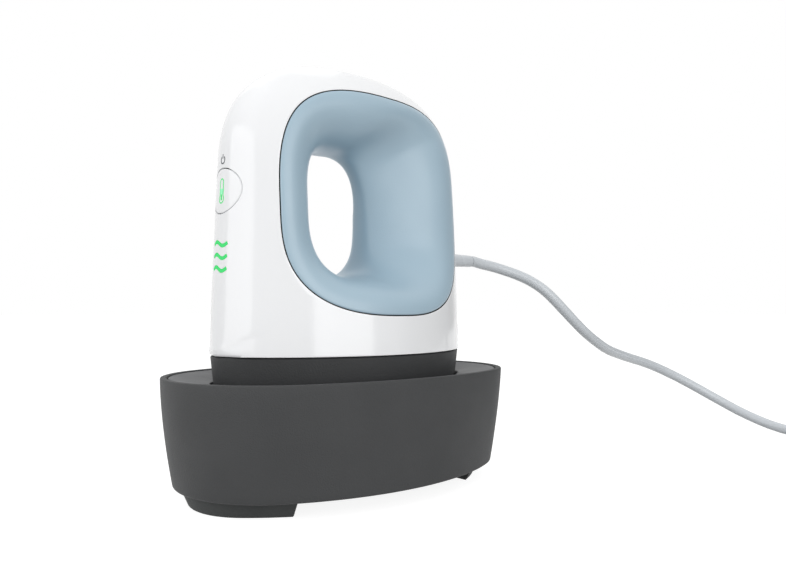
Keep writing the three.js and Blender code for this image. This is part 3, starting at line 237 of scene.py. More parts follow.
def moulded(name, colour, shade, roughness, polish, grain, grain_depth, drift=14, **shader):
    """Moulded plastic: the tool's grain, and a slow drift of tone and polish, sized in millimetres."""
    material, tree, made = surface(name, **shader)
    place = add(tree, "TexCoord").outputs["Object"]
    slow = add(tree, "TexNoise", {"Vector": place, "Scale": 1 / (drift * MM), "Detail": 3.0}).outputs["Fac"]
    tone = add(tree, "MixRGB", {"Fac": slow, "Color1": linear(colour), "Color2": linear(shade)})
    tree.links.new(tone.outputs["Color"], made.inputs["Base Color"])
    limits = {"From Min": 0.3, "From Max": 0.7, "To Min": polish, "To Max": roughness}
    gloss = add(tree, "MapRange", {"Value": slow, **limits})
    tree.links.new(gloss.outputs["Result"], made.inputs["Roughness"])
    fine = add(tree, "TexNoise", {"Vector": place, "Scale": 1 / (grain * MM), "Detail": 2.0}).outputs["Fac"]
    bump = add(tree, "Bump", {"Height": fine, "Strength": grain_depth, "Distance": grain * MM})
    tree.links.new(bump.outputs["Normal"], made.inputs["Normal"])
    return material


# Plasticised PVC is extruded, so its skin is satin and a little milky.
lead_vinyl = moulded(
    "lead_vinyl", "#CDD2D6", "#C7CCD1", 0.3, 0.24, 3.0, 0.01, IOR=1.53, Coat_Weight=0.15, Coat_Roughness=0.2
)
mains_lead.data.materials.append(lead_vinyl)

# Plug: one vinyl moulding over the pins, with a tapered body and a ribbed
# neck. Two flat blades and a round earth pin stand out of its face.
PIN_CLEARANCE = 0.3
SHARP_ANGLE = 35
WELD = 1e-5
plug_x = tail[-1][0]
plug_start = tail[-1][1] - PIN_CLEARANCE


def loop_edges(bm, around):
    """The edges of a closed loop of vertices."""
    return [bm.edges.get((around[i - 1], around[i])) for i in range(len(around))]


def extruded(bm, around):
    """Extrudes the edges of a closed loop, and gives the new vertices."""
    made = bmesh.ops.extrude_edge_only(bm, edges=loop_edges(bm, around))["geom"]
    return [part for part in made if isinstance(part, bmesh.types.BMVert)]


def skin(name, outlines, ring=False, start=None, end=None, sharp=SHARP_ANGLE):
    """Extrudes a circle through one outline after the other, in millimetres, into a closed piece."""
    bm = bmesh.new()
    loop = list(bmesh.ops.create_circle(bm, segments=len(outlines[0]), radius=1)["verts"])
    rows = [*outlines[1:], outlines[0]] if ring else outlines[1:]
    for vert, place in zip(loop, outlines[0]):
        vert.co = place
    ends = [list(loop)]
    for outline in rows:
        fresh = set(extruded(bm, loop))
        loop = [next(e.other_vert(v) for e in v.link_edges if e.other_vert(v) in fresh) for v in loop]
        for vert, place in zip(loop, outline):
            vert.co = place
    ends.append(loop)
    if ring:
        bmesh.ops.remove_doubles(bm, verts=bm.verts, dist=WELD)
    else:
        for around, tip in zip(ends, (start, end)):
            if tip == "open":
                continue
            if tip is None:
                bmesh.ops.contextual_create(bm, geom=loop_edges(bm, around))
            else:
                bmesh.ops.pointmerge(bm, verts=extruded(bm, around), merge_co=tip)
    return as_piece(name, bm, sharp)


def as_piece(name, bm, sharp=SHARP_ANGLE):
    """Turns a millimetre bmesh into a smooth-shaded object in the model's frame."""
    bmesh.ops.recalc_face_normals(bm, faces=bm.faces)
    bmesh.ops.scale(bm, vec=(MM, MM, MM), verts=bm.verts)
    mesh = bpy.data.meshes.new(name)
    bm.to_mesh(mesh)
    bm.free()
    mesh.shade_smooth()
    mesh.set_sharp_from_angle(angle=radians(sharp))
    return placed(name, mesh)


def fit(piece, material, body, slot, *stands_for):
    """Gives a piece its finish, its body and the model's nodes that it stands for. The slot is not used."""
    piece.data.materials.clear()
    piece.data.materials.append(material)
    if body:
        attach(piece, body)
    if stands_for:
        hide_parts(*stands_for)
    return piece


def power(value, exponent):
    """A power that keeps the sign of the value."""
    return copysign(abs(value) ** exponent, value)


def squircle(centre, half_width, half_height, exponent, points=48):
    """A rounded rectangle in the XZ plane."""
    places = []
    for i in range(points):
        turn = tau * i / points
        x = centre[0] + half_width * power(cos(turn), 2 / exponent)
        z = centre[2] + half_height * power(sin(turn), 2 / exponent)
        places.append(Vector((x, centre[1], z)))
    return places


# Stations along the plug: distance from the neck's end, half width, half height, squareness.
PLUG_STATIONS = [
    (0, 2.8, 2.8, 2),
    (2.2, 3.0, 3.0, 2),
    (2.4, 2.6, 2.6, 2),
    (3.6, 2.6, 2.6, 2),
    (3.8, 3.1, 3.1, 2),
    (5.6, 3.25, 3.25, 2),
    (5.8, 2.75, 2.75, 2),
    (7.0, 2.75, 2.75, 2),
    (7.2, 3.35, 3.35, 2),
    (9.0, 3.5, 3.5, 2),
    (9.2, 2.9, 2.9, 2),
    (10.4, 2.9, 2.9, 2),
    (10.6, 3.6, 3.6, 2),
    (12.5, 3.8, 3.8, 2.05),
    (15, 5.1, 5.1, 2.4),
    (18, 6.9, 6.4, 2.7),
    (22.5, 8.6, 8, 3),
    (28, 10.1, 8.9, 3.2),
    (33, 11.2, 9.4, 3.4),
    (37.5, 11.9, 9.85, 3.6),
    (42, 12, 10, 3.6),
    (44.2, 12, 10, 3.6),
    (44.8, 11.75, 9.75, 3.6),
    (45, 11.2, 9.2, 3.6),
]
plug_outlines = [
    squircle((plug_x, plug_start - along, PLUG_AXIS), half_width, half_height, exponent)
    for along, half_width, half_height, exponent in PLUG_STATIONS
]
plug_moulding = fit(skin("plug_moulding", plug_outlines), lead_vinyl, "cradle", "lead_vinyl", "plug_body")

# Plug pins are nickel-plated brass: a warm grey, bright, with fine draw marks along them.
DRAW_MARK_SPACING = 0.4
DRAW_MARK_LENGTH = 16.7
marks_across = 1 / (DRAW_MARK_SPACING * MM)
marks_along = 1 / (DRAW_MARK_LENGTH * MM)
nickel, tree, made = surface("nickel_plate", Metallic=1.0, Roughness=0.22)
place = add(tree, "TexCoord").outputs["Object"]
drawn = add(tree, "Mapping", {"Vector": place, "Scale": (marks_across, marks_along, marks_across)})
marks = add(tree, "TexNoise", {"Vector": drawn.outputs["Vector"], "Scale": 1.0, "Detail": 2.0}).outputs["Fac"]
tone = add(tree, "MixRGB", {"Fac": marks, "Color1": linear("#C9C6BF"), "Color2": linear("#BBB8B1")})
tree.links.new(tone.outputs["Color"], made.inputs["Base Color"])
bump = add(tree, "Bump", {"Height": marks, "Strength": 0.15, "Distance": 0.1 * MM})
tree.links.new(bump.outputs["Normal"], made.inputs["Normal"])

BLADE_THICKNESS = 1.5
BLADE_LENGTH = 17
BLADE_WIDTH = 6.3
BLADE_TIP_RADIUS = 1.6
BLADE_CHAMFER = 0.22
BLADE_EDGE_ANGLE = 0.7
LEVEL_WITHIN = 0.1
ROUNDED = {"affect": "EDGES", "profile": 0.5, "material": -1}


def blade(name, node):
    """A flat pin with a rounded tip and chamfered edges."""
    low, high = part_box(node)
    x = (low.x + high.x) / 2 / MM
    z = (low.z + high.z) / 2 / MM
    tip = low.y / MM
    bm = bmesh.new()
    bmesh.ops.create_cube(bm, size=1)
    bmesh.ops.scale(bm, vec=(BLADE_THICKNESS, BLADE_LENGTH, BLADE_WIDTH), verts=bm.verts)
    bmesh.ops.translate(bm, vec=(x, tip + BLADE_LENGTH / 2, z), verts=bm.verts)
    tip_edges = [e for e in bm.edges if all(v.co.y < tip + BLADE_THICKNESS for v in e.verts)]
    corners = [e for e in tip_edges if abs(e.verts[0].co.z - e.verts[1].co.z) < LEVEL_WITHIN]
    bmesh.ops.bevel(bm, geom=corners, offset=BLADE_TIP_RADIUS, segments=4, **ROUNDED)
    rim = [e for e in bm.edges if e.is_manifold and e.calc_face_angle() > BLADE_EDGE_ANGLE]
    bmesh.ops.bevel(bm, geom=rim, offset=BLADE_CHAMFER, segments=2, **ROUNDED)
    return fit(as_piece(name, bm), nickel, "cradle", "steel", node)


left_pin = blade("plug_pin_left", "plug_blade_left")
right_pin = blade("plug_pin_right", "plug_blade_right")
EARTH_PIN_LENGTH = 20
EARTH_PIN_POINTS = 24
# Distance from the pin's root, and radius.
EARTH_PIN_PROFILE = [(0, 2.4), (16.6, 2.4), (18.2, 2.2), (19.3, 1.6), (19.9, 0.8)]
pin_low, pin_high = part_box("plug_ground_pin")
pin_x = (pin_low.x + pin_high.x) / 2 / MM
pin_z = (pin_low.z + pin_high.z) / 2 / MM
pin_root = pin_high.y / MM
pin_outlines = [
    squircle((pin_x, pin_root - along, pin_z), radius, radius, 2, EARTH_PIN_POINTS)
    for along, radius in EARTH_PIN_PROFILE
]
earth_pin = skin("plug_pin_earth", pin_outlines, end=(pin_x, pin_root - EARTH_PIN_LENGTH, pin_z))
fit(earth_pin, nickel, "cradle", "steel", "plug_ground_pin")

# Strap: a woven hook-and-loop band round the turns of the coil.
STRAP_WIDTH = 7
STRAP_THICKNESS = 0.8
STRAP_CORNER = 2.4
STRAP_CORNER_STEPS = 6
STRAP_EDGE = 0.3
strap_low, strap_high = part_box("coil_tie")
strap_middle = (strap_low + strap_high) / 2 / MM
strap_half_length = (strap_high.y - strap_low.y) / 2 / MM - STRAP_THICKNESS / 2
strap_half_height = (strap_high.z - strap_low.z) / 2 / MM - STRAP_THICKNESS / 2


def strap_loop(inset, side):
    """The band's closed path in the YZ plane, with its round corners."""
    radius = STRAP_CORNER - inset
    points = []
    for quarter, (y_sign, z_sign) in enumerate([(1, 1), (-1, 1), (-1, -1), (1, -1)]):
        corner_y = strap_middle.y + y_sign * (strap_half_length - STRAP_CORNER)
        corner_z = strap_middle.z + z_sign * (strap_half_height - STRAP_CORNER)
        for step in range(STRAP_CORNER_STEPS + 1):
            turn = pi / 2 * (quarter + step / STRAP_CORNER_STEPS)
            y = corner_y + radius * cos(turn)
            z = corner_z + radius * sin(turn)
            points.append(Vector((strap_middle.x + side, y, z)))
    return points


strap_edge = STRAP_WIDTH / 2
strap_flat = strap_edge - STRAP_EDGE
strap_skin = STRAP_THICKNESS / 2
strap_rows = [
    strap_loop(-strap_skin, -strap_flat),
    strap_loop(-strap_skin, strap_flat),
    strap_loop(0, strap_edge),
    strap_loop(strap_skin, strap_flat),
    strap_loop(strap_skin, -strap_flat),
    strap_loop(0, -strap_edge),
]
# Woven nylon is dull, with a soft sheen from its loops. Its ribs are drawn 3.8 mm
# apart, coarser than real ones, so that they show.
RIB_SPACING = 3.77
WAVE_TURN = 20
rib_scale = tau / (WAVE_TURN * RIB_SPACING * MM)
rib_wave = {"Scale": rib_scale, "Distortion": 0.6, "Detail": 1.0}
woven, tree, made = surface("woven_nylon", Roughness=0.85, Sheen_Weight=0.3, Sheen_Roughness=0.5)
place = add(tree, "TexCoord").outputs["Object"]
ribs = add(tree, "TexWave", {"Vector": place, **rib_wave}, bands_direction="Y").outputs["Fac"]
weave = add(tree, "TexWave", {"Vector": place, **rib_wave}).outputs["Fac"]
threads = add(tree, "Math", {0: ribs, 1: weave}, operation="MULTIPLY").outputs["Value"]
tone = add(tree, "MixRGB", {"Fac": threads, "Color1": linear("#8C9094"), "Color2": linear("#B2B6B9")})
tree.links.new(tone.outputs["Color"], made.inputs["Base Color"])
bump = add(tree, "Bump", {"Height": threads, "Strength": 0.5, "Distance": 0.3 * MM})
tree.links.new(bump.outputs["Normal"], made.inputs["Normal"])
coil_strap = fit(skin("coil_strap", strap_rows, ring=True), woven, "cradle", "tie_fabric", "coil_tie")

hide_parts("power_lead", "lead_coil", "lead_tail")
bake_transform(mains_lead)

# Outer shell: one glossy white ABS moulding, an upright lozenge that narrows
# to its crown, with a big opening in each side for the grip's lining.
SHELL_BOTTOM = 45.05
SHELL_HALF_LENGTH = 47.8
SHELL_HALF_WIDTH = 29.8
SHELL_TIP_RADIUS = 17.4
SHELL_HEIGHT = 94.2
SHELL_WALL = 2.2
SHELL_EDGE = 0.45
SHELL_EDGE_ANGLE = 50
END_SHOULDER = 58.6
END_POWER = 2.65
END_DRAFT = 0.04
SIDE_SHOULDER = 37.3
SIDE_POWER = 2.24
SIDE_DRAFT = 0.044
OPENING_HALF_LENGTH = 38.1
OPENING_CENTRE_X = 3
OPENING_CENTRE = 45.7
OPENING_RISE = 38.3
OPENING_DROP = 33.5
OPENING_CORNERS = (4.4, 3.05, 3.05, 2.4)
OPENING_GAP = 0.3
RAYS_BELOW = 52
RAYS_ABOVE = 180
SHELL_ROWS = 26
FARTHEST = 200.0
HALVINGS = 50
MIRROR_WELD = 1e-6


def shell_sizes(z, inset=0):
    """Half length, half width and tip radius of the shell at a height over its bottom edge."""
    top = SHELL_HEIGHT - inset
    crown = []
    for shoulder, exponent in ((END_SHOULDER, END_POWER), (SIDE_SHOULDER, SIDE_POWER)):
        share = min(max((z - shoulder) / (top - shoulder), 0), 1)
        crown.append((1 - share**exponent) ** (1 / exponent))
    a = (SHELL_HALF_LENGTH - inset - END_DRAFT * z) * crown[0]
    b = (SHELL_HALF_WIDTH - inset - SIDE_DRAFT * z) * crown[1]
    return a, b, (SHELL_TIP_RADIUS - inset) * b / (SHELL_HALF_WIDTH - inset)


def half_width(x, a, b, r):
    """Half width of a lozenge outline at a place along its length."""
    along = abs(x)
    if b <= 0 or along >= a:
        return 0.0
    side = (b * b + (a - r) ** 2 - r * r) / (2 * (b - r))
    turn = atan2(side - b, a - r)
    if along < a - r + r * cos(turn):
        return b - side + sqrt(side * side - along * along)
    return sqrt(max(r * r - (along - a + r) ** 2, 0))


def shell_half_width(x, z):
    return half_width(x, *shell_sizes(z))


def corner_power(angle, corners):
    """How square a loop is in the quarter that an angle falls in."""
    return corners[int(angle % tau / (pi / 2)) % 4]


def opening_reach(angle):
    """How far the opening's edge lies from its centre in a direction of the XZ plane."""
    exponent = corner_power(angle, OPENING_CORNERS)
    height = OPENING_RISE if sin(angle) > 0 else OPENING_DROP
    along = abs(cos(angle) / OPENING_HALF_LENGTH) ** exponent
    return (along + abs(sin(angle) / height) ** exponent) ** (-1 / exponent)


def shell_reach(angle):
    """How far the shell's silhouette or bottom edge lies from the opening's centre."""
    low, high = 0.0, FARTHEST
    for _ in range(HALVINGS):
        middle = (low + high) / 2
        x = OPENING_CENTRE_X + cos(angle) * middle
        z = OPENING_CENTRE + sin(angle) * middle
        inside = 0 <= z < SHELL_HEIGHT and abs(x) < shell_sizes(z)[0]
        low, high = (middle, high) if inside else (low, middle)
    return low


rear_corner = atan2(-OPENING_CENTRE, SHELL_HALF_LENGTH - OPENING_CENTRE_X)
front_corner = pi - atan2(-OPENING_CENTRE, SHELL_HALF_LENGTH + OPENING_CENTRE_X)
above = [rear_corner + (front_corner - rear_corner) * i / RAYS_ABOVE for i in range(RAYS_ABOVE)]
below_turn = tau + rear_corner - front_corner
below = [front_corner + below_turn * i / RAYS_BELOW for i in range(RAYS_BELOW)]
shell_rays = [(angle, i >= RAYS_ABOVE) for i, angle in enumerate(above + below)]


def shell_row(share):
    """One loop of the shell's side, from the opening's edge at 0 to the middle plane at 1."""
    points = []
    for angle, is_below in shell_rays:
        start = opening_reach(angle) + OPENING_GAP
        end = shell_reach(angle)
        reach = start + (end - start) * (share if is_below else sin(pi / 2 * share))
        x = OPENING_CENTRE_X + reach * cos(angle)
        z = OPENING_CENTRE + reach * sin(angle)
        on_edge = share == 1 and not is_below
        y = 0 if on_edge else -shell_half_width(x, min(max(z, 0), SHELL_HEIGHT))
        points.append(Vector((x, y, max(z, 0) + SHELL_BOTTOM)))
    return points


shell_rows = [shell_row(i / SHELL_ROWS) for i in range(SHELL_ROWS + 1)]
shell_side = skin("shell_moulding", shell_rows, start="open", end="open")
bm = bmesh.new()
bm.from_mesh(shell_side.data)
bmesh.ops.mirror(bm, geom=bm.verts[:] + bm.edges[:] + bm.faces[:], axis="Y", merge_dist=MIRROR_WELD)
bmesh.ops.remove_doubles(bm, verts=bm.verts, dist=MIRROR_WELD)
bmesh.ops.recalc_face_normals(bm, faces=bm.faces)
bm.faces.ensure_lookup_table()
tip_face = min(bm.faces, key=lambda face: face.calc_center_median().x)
if tip_face.normal.x > 0:
    bmesh.ops.reverse_faces(bm, faces=bm.faces)
bm.to_mesh(shell_side.data)
bm.free()

wall = shell_side.modifiers.new("wall", "SOLIDIFY")
wall.thickness = SHELL_WALL * MM
wall.offset = -1
wall.use_even_offset = True
rim = shell_side.modifiers.new("rim", "BEVEL")
rim.width = SHELL_EDGE * MM
rim.segments = 2
rim.limit_method = "ANGLE"
rim.angle_limit = radians(SHELL_EDGE_ANGLE)

# Button end: a round button flush with the shell behind a fine groove, three
# wave-shaped light guides under it, and a printed power sign above it.
BUTTON_CENTRE = 49.8
BUTTON_HALF_WIDTH = 8.2
BUTTON_HALF_HEIGHT = 6.75
BUTTON_GAP = 0.3
BUTTON_BACK = -40.4
BUTTON_POINTS = 96
BUTTON_RINGS = (0.12, 0.25, 0.4, 0.55, 0.7, 0.82, 0.9, 0.955, 0.985, 1.0)
BUTTON_ROLL_FROM = 0.95
BUTTON_ROLL_DEPTH = 0.3
LIGHT_CENTRES = {"high": 33.8, "middle": 30, "low": 26.2}
LIGHT_HALF_WIDTH = 4
LIGHT_WAVE_LENGTH = 7.5
LIGHT_WAVE_HEIGHT = 0.65
LIGHT_THICKNESS = 1
LIGHT_GAP = 0.1
LIGHT_SINK = 0.02
LIGHT_BACK = -37.5
SLEEVE_HOLE = 3
BUTTON_CUT = (-50, -38)
LIGHT_CUT = (-50, -42)
SLEEVE_CUT = (42, 50)


def tip_x(y, z):
    """Where the shell's rounded tip lies on the button's side, at a height over its bottom edge."""
    a, _, r = shell_sizes(z)
    return -(a - r) - sqrt(r * r - y * y)


def on_face(outline, lift):
    """An outline of (y, z) laid on the rounded tip, lifted off it by some millimetres."""
    return [Vector((tip_x(y, z) - lift, y, SHELL_BOTTOM + z)) for y, z in outline]


def across(outline, x):
    """An outline of (y, z) set upright at a place along X."""
    return [Vector((x, y, SHELL_BOTTOM + z)) for y, z in outline]


def button_outline(grow=0, share=1):
    """The button's outline as (y, z), grown by some millimetres or drawn in to a share."""
    half_width = (BUTTON_HALF_WIDTH + grow) * share
    half_height = (BUTTON_HALF_HEIGHT + grow) * share
    turns = [tau * i / BUTTON_POINTS for i in range(BUTTON_POINTS)]
    return [(half_width * cos(turn), BUTTON_CENTRE + half_height * sin(turn)) for turn in turns]


def wave_outline(centre, grow, steps=32):
    """Upper and lower edge of a wave light, as one closed outline of (y, z)."""
    edge = []
    half = LIGHT_THICKNESS / 2 + grow
    for side in (-1, 1):
        for i in range(steps + 1):
            along = -1 + 2 * i / steps if side < 0 else 1 - 2 * i / steps
            y = along * (LIGHT_HALF_WIDTH + grow)
            turn = tau * y / LIGHT_WAVE_LENGTH
            slope = LIGHT_WAVE_HEIGHT * tau / LIGHT_WAVE_LENGTH * cos(turn)
            lean = hypot(1, slope)
            z = centre + LIGHT_WAVE_HEIGHT * sin(turn)
            edge.append((y - side * half * slope / lean, z + side * half / lean))
    return edge


def round_section(x, radius, points=40):
    """A circle across the lead's axis, where the lead leaves the shell."""
    turns = [tau * i / points for i in range(points)]
    return [Vector((x, radius * cos(turn), SLEEVE_MOUTH[2] + radius * sin(turn))) for turn in turns]


cutters = [
    skin("button_cutter", [across(button_outline(BUTTON_GAP), x) for x in BUTTON_CUT]),
    skin("sleeve_cutter", [round_section(x, SLEEVE_HOLE) for x in SLEEVE_CUT]),
]
for height in LIGHT_CENTRES.values():
    edge = wave_outline(height, LIGHT_GAP)
    cutters.append(skin("light_cutter", [across(edge, x) for x in LIGHT_CUT]))
for cutter in cutters:
    cut = shell_side.modifiers.new(cutter.name, "BOOLEAN")
    cut.operation = "DIFFERENCE"
    cut.solver = "EXACT"
    cut.object = cutter
shell_side.data = evaluated_mesh(shell_side, "shell_moulding")
shell_side.modifiers.clear()
shell_side.data.shade_smooth()
shell_side.data.set_sharp_from_angle(angle=radians(SHARP_ANGLE))
for cutter in cutters:
    bpy.data.objects.remove(cutter)

# Polished ABS: the tool is mirror-polished, so the surface is glossy with only a faint waviness.
white_abs = moulded(
    "white_abs",
    "#F3F4F5",
    "#F1F2F4",
    roughness=0.17,
    polish=0.12,
    grain=9.0,
    grain_depth=0.012,
    drift=30,
    IOR=1.54,
    Coat_Weight=0.2,
    Coat_Roughness=0.06,
)
fit(shell_side, white_abs, "press", "white_shell", "outer_shell")

button_rows = []
for share in BUTTON_RINGS:
    roll = max(share - BUTTON_ROLL_FROM, 0) / (1 - BUTTON_ROLL_FROM)
    dip = BUTTON_ROLL_DEPTH * (1 - sqrt(max(0, 1 - roll**2)))
    button_rows.append(on_face(button_outline(share=share), -dip))
button_rows.append(across(button_outline(), BUTTON_BACK))
button_cap = skin("button_cap", button_rows, start=(tip_x(0, BUTTON_CENTRE), 0, SHELL_BOTTOM + BUTTON_CENTRE))
fit(button_cap, white_abs, "button", "white_shell", "power_button")

# Light guides are clear acrylic lit from behind: bright, saturated and almost even.
HAZE_PER_METRE = 700


def lit_acrylic(name, body, glow, core):
    """Clear acrylic over a lamp: a faint haze makes the light uneven."""
    material, tree, made = surface(
        name,
        Base_Color=linear(body),
        Roughness=0.25,
        IOR=1.49,
        Specular_IOR_Level=0.3,
        Emission_Strength=0.4,
    )
    place = add(tree, "TexCoord").outputs["Object"]
    haze = add(tree, "TexNoise", {"Vector": place, "Scale": HAZE_PER_METRE, "Detail": 1.0}).outputs["Fac"]
    shine = add(tree, "MixRGB", {"Fac": haze, "Color1": linear(glow), "Color2": linear(core)})
    tree.links.new(shine.outputs["Color"], made.inputs["Emission Color"])
    return material


light_green = lit_acrylic("lit_acrylic", "#12BC59", "#08D457", "#34E07A")
pale_green = lit_acrylic("pale_acrylic", "#86D8AA", "#74DFA2", "#92E7B7")

for setting, height in LIGHT_CENTRES.items():
    edge = wave_outline(height, 0)
    wave = skin(f"wave_guide_{setting}", [on_face(edge, -LIGHT_SINK), across(edge, LIGHT_BACK)])
    fit(wave, light_green, "press", "light_guide", f"wave_light_{setting}")

# Thermometer sign in the button: a thin lit outline with a lit column in its
# bulb and a paler block above it, flush with the button's face.
SIGN_LENGTH = 7.7
SIGN_BULB_RADIUS = 1.5
SIGN_STEM_RADIUS = 1.15
SIGN_LINE = 0.36
SIGN_PROUD = 0.03
SIGN_DEPTH = 0.3
LEVEL_HALF_WIDTH = 0.78
LEVEL_TOP = 0.7
LEVEL_BOTTOM = -1.05
COLUMN_HALF_WIDTH = 0.42
COLUMN_BOTTOM = -2.85


def thermometer(shrink, steps=14):
    """The sign's outline as (y, z), shrunk inwards by some millimetres."""
    bulb = SIGN_BULB_RADIUS - shrink
    stem = SIGN_STEM_RADIUS - shrink
    bulb_z = BUTTON_CENTRE - SIGN_LENGTH / 2 + SIGN_BULB_RADIUS
    stem_z = BUTTON_CENTRE + SIGN_LENGTH / 2 - SIGN_STEM_RADIUS
    neck = asin(min(stem / bulb, 1))
    outline = []
    for i in range(2 * steps + 1):
        angle = pi / 2 + neck + (tau - 2 * neck) * i / (2 * steps)
        outline.append((bulb * cos(angle), bulb_z + bulb * sin(angle)))
    for i in range(steps + 1):
        angle = pi * i / steps
        outline.append((stem * cos(angle), stem_z + stem * sin(angle)))
    return outline


def upright_bar(half_width, low, high):
    """A rectangle as (y, z)."""
    return [(-half_width, high), (-half_width, low), (half_width, low), (half_width, high)]


sign_rows = [
    on_face(thermometer(0), SIGN_PROUD),
    on_face(thermometer(SIGN_LINE), SIGN_PROUD),
    on_face(thermometer(SIGN_LINE), -SIGN_DEPTH),
    on_face(thermometer(0), -SIGN_DEPTH),
]
thermometer_line = skin("thermometer_line", sign_rows, ring=True)
fit(thermometer_line, light_green, "button", "light_guide", "button_sign")
column = upright_bar(COLUMN_HALF_WIDTH, BUTTON_CENTRE + COLUMN_BOTTOM, BUTTON_CENTRE + LEVEL_BOTTOM)
level = upright_bar(LEVEL_HALF_WIDTH, BUTTON_CENTRE + LEVEL_BOTTOM, BUTTON_CENTRE + LEVEL_TOP)
filling = {"thermometer_column": (column, light_green), "thermometer_level": (level, pale_green)}
for name, (shape, light) in filling.items():
    mark = skin(name, [on_face(shape, SIGN_PROUD), on_face(shape, -SIGN_DEPTH)])
    fit(mark, light, "button", "light_guide")

# Power sign: a ring open at the top and a short bar, pad-printed in dark grey ink.
POWER_SIGN_CENTRE = 59.3
POWER_SIGN_RADIUS = 1.15
POWER_SIGN_LINE = 0.4
POWER_SIGN_OPENING = 38
POWER_SIGN_STEPS = 40
POWER_BAR_BOTTOM = 0.35
POWER_BAR_TOP = 1.75
INK_DEPTH = 0.1
printed_ink = moulded("printed_ink", "#3E454C", "#383F45", 0.5, 0.4, 0.5, 0.05, IOR=1.5)
ring_from = 90 + POWER_SIGN_OPENING
ring_sweep = 360 - 2 * POWER_SIGN_OPENING
turns = [radians(ring_from + ring_sweep * i / POWER_SIGN_STEPS) for i in range(POWER_SIGN_STEPS + 1)]
outer = [(POWER_SIGN_RADIUS + POWER_SIGN_LINE / 2, turn) for turn in turns]
inner = [(POWER_SIGN_RADIUS - POWER_SIGN_LINE / 2, turn) for turn in reversed(turns)]
arc = [(r * cos(turn), POWER_SIGN_CENTRE + r * sin(turn)) for r, turn in outer + inner]
bar = upright_bar(
    POWER_SIGN_LINE / 2, POWER_SIGN_CENTRE + POWER_BAR_BOTTOM, POWER_SIGN_CENTRE + POWER_BAR_TOP
)
for name, shape in (("power_sign_ring", arc), ("power_sign_bar", bar)):
    ink = skin(name, [on_face(shape, SIGN_PROUD), on_face(shape, -INK_DEPTH)])
    fit(ink, printed_ink, "press", None)

# Grip lining: two satin blue-grey halves that roll in from the openings and
# meet half way through, so that the fingers feel no edge.
WAIST_HALF_LENGTH = 12.6
WAIST_CENTRE_X = -7
WAIST_CENTRE = 47
WAIST_RISE = 18.9
WAIST_DROP = 21.9
WAIST_CORNERS = (2.3, 3.5, 3.1, 4.4)
ROLL_POWER = 2.5
RIM_STEP = 1
LINING_WALL = 2
LINING_POINTS = 200
LINING_ROWS = 30
LINING_SHARP_ANGLE = 60
LINING_FIRST = 0.012
LINING_CROWDING = 1.25
HALF_SEAM = 0.01
# Distance in from the opening's edge, and depth below the shell's surface.
LINING_RIM = ((0, 2.2), (0, 0.5), (0.05, 0.25), (0.18, 0.08))


def edge_point(angle, inset=0):
    """A point (x, z) of the opening's edge, drawn in by some millimetres."""
    roundness = 2 / corner_power(angle, OPENING_CORNERS)
    height = OPENING_RISE if sin(angle) > 0 else OPENING_DROP
    return (
        OPENING_CENTRE_X + (OPENING_HALF_LENGTH - inset) * power(cos(angle), roundness),
        OPENING_CENTRE + (height - inset) * power(sin(angle), roundness),
    )


def waist_point(angle):
    """A point (x, z) of the grip's waist, half way through the press."""
    roundness = 2 / corner_power(angle, WAIST_CORNERS)
    height = WAIST_RISE if sin(angle) > 0 else WAIST_DROP
    return (
        WAIST_CENTRE_X + WAIST_HALF_LENGTH * power(cos(angle), roundness),
        WAIST_CENTRE + height * power(sin(angle), roundness),
    )


def opening_row(side, inset, sink):
    """A loop round the opening on one side, some millimetres in from its edge and below the surface."""
    row = []
    for i in range(LINING_POINTS):
        x, z = edge_point(tau * i / LINING_POINTS, inset)
        row.append(Vector((x, side * (shell_half_width(x, z) - sink), SHELL_BOTTOM + z)))
    return row


def lining_half(name, side):
    """One half of the lining, from its outer edge over the roll to the waist and back behind."""
    face_rows = []
    back_rows = []
    for j in range(LINING_ROWS + 1):
        turn = pi / 2 * (LINING_FIRST + (1 - LINING_FIRST) * (j / LINING_ROWS) ** LINING_CROWDING)
        inward = sin(turn) ** (2 / ROLL_POWER)
        outward = max(cos(turn), 0) ** (2 / ROLL_POWER)
        face = []
        back = []
        for i in range(LINING_POINTS):
            angle = tau * i / LINING_POINTS
            edge = edge_point(angle)
            throat = waist_point(angle)
            depth = shell_half_width(*edge) - HALF_SEAM
            span = hypot(throat[0] - edge[0], throat[1] - edge[1])
            ahead = [e + (t - e) * RIM_STEP / span for e, t in zip(edge, throat)]
            rim_slope = (shell_half_width(*ahead) - HALF_SEAM - depth) / RIM_STEP
            swell = rim_slope * span * inward * (1 - inward) ** 2
            slope_in = inward ** (ROLL_POWER - 1) / span
            slope_out = outward ** (ROLL_POWER - 1) / depth
            slope = hypot(slope_in, slope_out)
            for row, behind in ((face, 0), (back, LINING_WALL)):
                share = inward - behind * slope_in / slope / span
                out = outward * depth + swell - behind * slope_out / slope
                x, z = (e + (t - e) * share for e, t in zip(edge, throat))
                row.append(Vector((x, side * (HALF_SEAM + max(out, 0)), SHELL_BOTTOM + z)))
        face_rows.append(face)
        back_rows.insert(0, back)
    rim_rows = [opening_row(side, inset, sink) for inset, sink in LINING_RIM]
    return skin(name, [*rim_rows, *face_rows, *back_rows], ring=True, sharp=LINING_SHARP_ANGLE)


# Satin ABS from a spark-eroded tool: an even fine grain that scatters the highlights softly.
satin_blue_grey = moulded(
    "satin_blue_grey", "#A7BFCD", "#A3BBCA", 0.36, 0.3, 0.35, 0.12, IOR=1.54, Specular_IOR_Level=0.5
)
SIDES = ((-1, "left"), (1, "right"))
for side, word in SIDES:
    half_lining = lining_half(f"grip_lining_{word}", side)
    fit(half_lining, satin_blue_grey, "press", "grip_lining", f"handle_insert_{word}")
